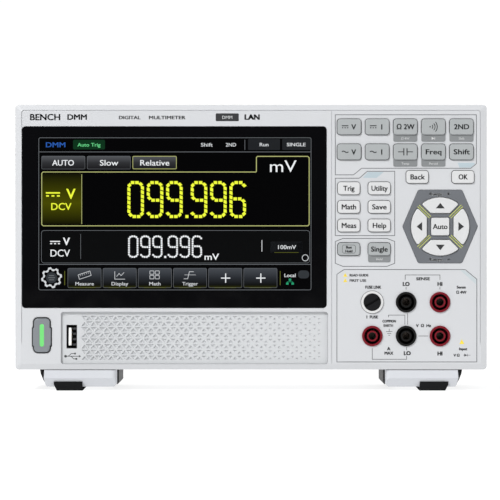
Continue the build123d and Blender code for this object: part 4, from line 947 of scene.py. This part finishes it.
def screen():
    """The picture, drawn in layers: fields, then lines and words, then what lies on them."""
    tab_face = lit_ramp("lit_tab", [(0, (22, 22, 24)), (0.5, (48, 49, 52)), (1, (84, 86, 90))],
                        SCREEN_TOP - 18.2, SCREEN_TOP - 10.7)
    dock_face = lit_ramp("lit_dock", [(0, (46, 48, 8)), (0.14, (12, 13, 10)), (0.5, (40, 43, 48)),
                                      (1, (70, 74, 80))], SCREEN_TOP - 84.9, SCREEN_TOP - 73.8)
    olive = lit_ramp("lit_olive", [(0, (6, 6, 0)), (0.42, (70, 72, 0)), (0.62, (58, 60, 0)), (1, (8, 8, 2))],
                     SCREEN_TOP - 49.6, SCREEN_TOP - 20.0)
    black = lit("lit_black", tone(1, 1, 2))
    panel = lit("lit_panel", tone(9, 10, 11))
    plate = lit("lit_plate", tone(34, 36, 39))
    dull = lit("lit_dull_gold", tone(96, 100, 34))
    hair = lit("lit_hair", tone(112, 116, 120))
    dim = lit("lit_dim", tone(52, 56, 60))
    gold = lit("lit_gold", tone(186, 190, 122))
    yellow = lit("lit_yellow", tone(232, 242, 60), 1.15)
    white = lit("lit_white", tone(240, 243, 245))
    grey = lit("lit_grey", tone(214, 217, 220))
    green = lit("lit_green", tone(104, 214, 138))
    leaf = lit("lit_leaf", tone(12, 52, 28))
    blue = lit("lit_blue", tone(44, 92, 176))
    teal = lit("lit_teal", tone(40, 158, 112))

    tiles("screen_base", black, 0, (0, 0, SCREEN_W, SCREEN_H, 0.4))
    tiles("screen_second_field", panel, 1, (*FIELD, 1.6))
    tiles("screen_function_block", olive, 1, (2.5, 20.1, 24.6, 49.6, 0.4))
    tiles("screen_tabs", tab_face, 1, *[(*tab, 0.7) for tab in TABS])
    tiles("screen_plates", plate, 1, (118.2, 1.1, 136.2, 7.3, 0.5), (137.4, 1.1, 153.2, 7.3, 0.5),
          (130.6, 58.8, 149.0, 65.1, 0.6))
    tiles("screen_dock", dock_face, 1, *[(*button, 0.8) for button in DOCK])
    tiles("screen_mode_pill", leaf, 1, (19.7, 1.6, 37.7, 7.0, 0.8))

    lines = screen_film(2)
    outline(lines, 0.3, 0.3, SCREEN_W - 0.3, SCREEN_H - 0.3, 1.0, 0.28)
    for v in (8.4, 71.7):
        route(lines, [(0.6, v), (SCREEN_W - 0.6, v)], 0.3)
    route(lines, [(116.4, 1.6), (116.4, 7.2)], 0.25)
    outline(lines, *FIELD, 1.6, 0.22)
    route(lines, [(24.0, 54.6), (24.0, 68.7)], 0.2)
    for tab in TABS[:2]:
        outline(lines, *tab, 0.7, 0.16)
    for button in DOCK:
        outline(lines, *button, 0.8, 0.16)
    lines.finish("screen_lines", hair)
    frame_line = screen_film(2)
    route(frame_line, [(2.8, 19.7), (122.6, 19.7), (122.9, 19.2), (122.9, 11.5), (123.5, 10.9), (151.8, 10.9),
                       (152.6, 11.7), (152.6, 49.2), (151.8, 50.0), (2.9, 50.0), (2.1, 49.2), (2.1, 20.5)],
          0.46, True)
    outline(frame_line, *TABS[2], 0.7, 0.32)
    route(frame_line, [(24.6, 21.0), (24.6, 49.0)], 0.3)
    frame_line.finish("screen_gold_lines", gold)
    marks = screen_film(2)
    for u in (15.0, 136.3):
        route(marks, [(u, 75.4), (u, 83.4)], 0.4)
    for u, _, _, v in DOCK:
        route(marks, [(u + 3.3, v - 0.1), (u + 15.6, v - 0.1)], 0.3)
    route(marks, [(133.0, 65.0), (146.6, 65.0)], 0.25)
    marks.finish("screen_dull_lines", dull)

    big = screen_film(2)
    readout(big, 50.3, 24.8, "099.996", 9.3, 20.8, 1.7, 1.6, 2.95, "rope")
    dc_mark(big, *at(8.4, 32.3), 8.0, 0.85)
    write(big, ("V", 18.5, 31.8, 6.0, 0.27, None), ("DCV", 12.9, 39.0, 4.1, 0.14, 11.4))
    big.finish("screen_main_reading", yellow)

    small = screen_film(2)
    readout(small, 50.6, 55.3, "099.996", 6.0, 12.8, 1.2, 0.78, 1.92, "dots")
    dc_mark(small, *at(9.6, 59.4), 5.7, 0.62)
    write(small, ("V", 16.0, 58.6, 4.4, 0.27, None), ("DCV", 12.3, 65.2, 4.1, 0.11, 11.0),
          ("mV", 97.6, 67.3, 3.7, 0.18, 8.2), ("mV", 137.7, 16.2, 7.0, 0.0, 15.0),
          ("AUTO", 14.2, 14.4, 3.3, 0.14, 12.3), ("Slow", 39.9, 14.4, 3.3, 0.1, 10.4),
          ("Relative", 65.6, 14.4, 3.3, 0.1, 16.4))
    route(small, [(126.0, 58.0), (126.0, 64.5)], 0.3)
    for u in (105.6, 125.4):
        route(small, [(u, 76.8), (u, 82.0)], 0.6)
        route(small, [(u - 2.6, 79.4), (u + 2.6, 79.4)], 0.6)
    small.finish("screen_white_text", white)

    fine = screen_film(2)
    write(fine, ("Shift", 94.9, 4.3, 2.1, 0.08, 6.6), ("2ND", 108.6, 4.3, 2.1, 0.08, 5.8),
          ("Run", 127.2, 4.2, 2.0, 0.13, 5.0), ("SINGLE", 145.3, 4.2, 2.0, 0.13, 10.6),
          ("100mV", 139.8, 61.9, 2.3, 0.14, 10.2), ("Local", 141.8, 77.8, 2.0, 0.13, 6.4))
    for button, words, width in zip(DOCK, ("Measure", "Display", "Math", "Trigger"), (10.4, 9.4, 6.4, 8.8)):
        write(fine, (words, button[0] + 9.45, 82.5, 2.0, 0.07, width))
    route(fine, [(22.6, 77.6), (29.2, 75.4), (29.9, 77.9), (23.3, 80.1)], 0.28, True)
    for k in range(1, 6):
        u, v = 22.6 + 1.1 * k, 77.6 - 0.37 * k
        route(fine, [(u, v), (u + 0.35, v + 1.1)], 0.18)
    route(fine, [(43.2, 75.6), (43.2, 80.0), (49.0, 80.0)], 0.3)
    route(fine, [(44.2, 78.6), (45.6, 76.8), (46.8, 78.0), (48.4, 76.2)], 0.28)
    for u in (62.8, 65.8):
        for v in (75.2, 77.8):
            outline(fine, u, v, u + 2.6, v + 2.2, 0.4, 0.3)
    route(fine, [(82.0, 79.8), (84.2, 79.8), (85.2, 75.8), (87.6, 75.8)], 0.3)
    route(fine, [(82.4, 77.6), (88.8, 77.6)], 0.2)
    fine.ring(*at(150.4, 68.0), 1.9, 1.55, 24)
    fine.finish("screen_fine_text", grey)

    x, z = at(7.65, 79.2)
    cog = screen_film(2)
    outer, inner = ([cog_point(x, z, turn, *radii) for turn in range(48)]
                    for radii in ((5.9, 4.9), (4.75, 3.8)))
    cog.strip(outer, inner, True)
    cog.finish("screen_cog", grey)
    hub = screen_film(2)
    hub.disc(x, z, 3.1, 24)
    hub.finish("screen_cog_hub", dim)
    spokes = screen_film(3)
    for drop in (1.2, 0.0, -1.2):
        half = 1.9 - abs(drop) * 0.4
        spokes.line([(x - half, z + drop), (x + half, z + drop)], 0.42)
    spokes.finish("screen_cog_lines", hair)

    tiles("screen_local_pill", dim, 2, (146.3, 75.1, 152.6, 79.6, 2.0))
    mode = screen_film(3)
    write(mode, ("Auto Trig", 28.7, 4.3, 2.1, 0.11, 13.0))
    mode.finish("screen_mode_text", green)
    name = screen_film(2)
    write(name, ("DMM", 9.9, 4.3, 2.9, 0.18, 11.0))
    name.finish("screen_name", blue)
    net = screen_film(2)
    for u, v in ((141.8, 80.3), (140.3, 82.5), (143.3, 82.5)):
        tile(net, u - 0.7, v - 0.6, u + 0.7, v + 0.6, 0.15)
    route(net, [(141.8, 80.8), (141.8, 81.5)], 0.25)
    route(net, [(140.3, 82.0), (140.3, 81.5), (143.3, 81.5), (143.3, 82.0)], 0.25)
    net.finish("screen_net_mark", teal)


screen()

# ------------------------------------------------------------------ floor, light and camera


def paper():
    """Pale glowing table, ending short of the camera: it leaves only a faint shadow."""
    mat, tree, shader = node_tree("paper")
    patchy = spread(tree, noise(tree, 3.0), 0, 1)
    tree.links.new(blend_colours(tree, patchy, (0.30,) * 3, (0.33,) * 3), shader.inputs["Base Color"])
    shader.inputs["Emission Color"].default_value = (1, 1, 1, 1)
    shader.inputs["Emission Strength"].default_value = 0.80
    shader.inputs["Roughness"].default_value = 0.9
    shader.inputs["Specular IOR Level"].default_value = 0.0
    data = bpy.data.meshes.new("floor")
    far, near = 6.0, -1.05
    data.from_pydata([(-far, near, 0), (far, near, 0), (far, far, 0), (-far, far, 0)], [], [(0, 1, 2, 3)])
    floor = bpy.data.objects.new("floor", data)
    bpy.context.scene.collection.objects.link(floor)
    data.materials.append(mat)


paper()


def lamp(name, place_at, aim, size, watts):
    data = bpy.data.lights.new(name, "AREA")
    data.shape = "RECTANGLE"
    data.size, data.size_y = size
    data.energy = watts
    light = bpy.data.objects.new(name, data)
    light.location = place_at
    light.rotation_euler = (Vector(aim) - Vector(place_at)).to_track_quat("-Z", "Y").to_euler()
    bpy.context.scene.collection.objects.link(light)


CENTRE = (CAD_BOX[0] + CAD_BOX[1]) / 2
lamp("key_light", (-1.30, -2.05, 1.90), CENTRE, (0.6, 0.5), 73.0)
lamp("fill_light", (1.25, -1.2, 0.5), CENTRE, (0.7, 0.9), 5.0)


def studio():
    """World light: white behind the object, dimmer in front, and dark behind the camera."""
    world = bpy.data.worlds.new("studio")
    world.use_nodes = True
    tree = world.node_tree
    coord = tree.nodes.new("ShaderNodeTexCoord")
    toward = tree.nodes.new("ShaderNodeVectorMath")
    toward.operation = "DOT_PRODUCT"
    toward.inputs[1].default_value = (0, -1, 0)
    tree.links.new(coord.outputs["Generated"], toward.inputs[0])
    levels = ((0.48, 1.0), (0.62, 0.42), (0.93, 0.36), (0.985, 0.12))
    shade = colour_ramp(tree, spread(tree, toward.outputs["Value"], 0, 1, -1, 1),
                        [(position, (level,) * 3) for position, level in levels])
    tree.links.new(shade, tree.nodes["Background"].inputs["Color"])
    tree.nodes["Background"].inputs["Strength"].default_value = 1.03
    bpy.context.scene.world = world


studio()
bpy.context.scene.view_settings.view_transform = "Standard"

CAMERA_AWAY = 1.5                   # camera to the front of the case
VIEW_WIDTH = 0.2814                 # width of the picture at the front of the case
SENSOR = 36.0
CAMERA_LEFT, CAMERA_LOW = 0.0006, 0.0012    # camera off the middle of the case
camera_data = bpy.data.cameras.new("camera")
camera_data.sensor_width = SENSOR
camera_data.lens = SENSOR * CAMERA_AWAY / VIEW_WIDTH
camera = bpy.data.objects.new("camera", camera_data)
camera.location = (-CAMERA_LEFT, BEZEL_LO.y * MM - CAMERA_AWAY, CAD_BOX[1].z / 2 - CAMERA_LOW)
camera.rotation_euler = (math.radians(90), 0, 0)
bpy.context.scene.collection.objects.link(camera)
bpy.context.scene.camera = camera
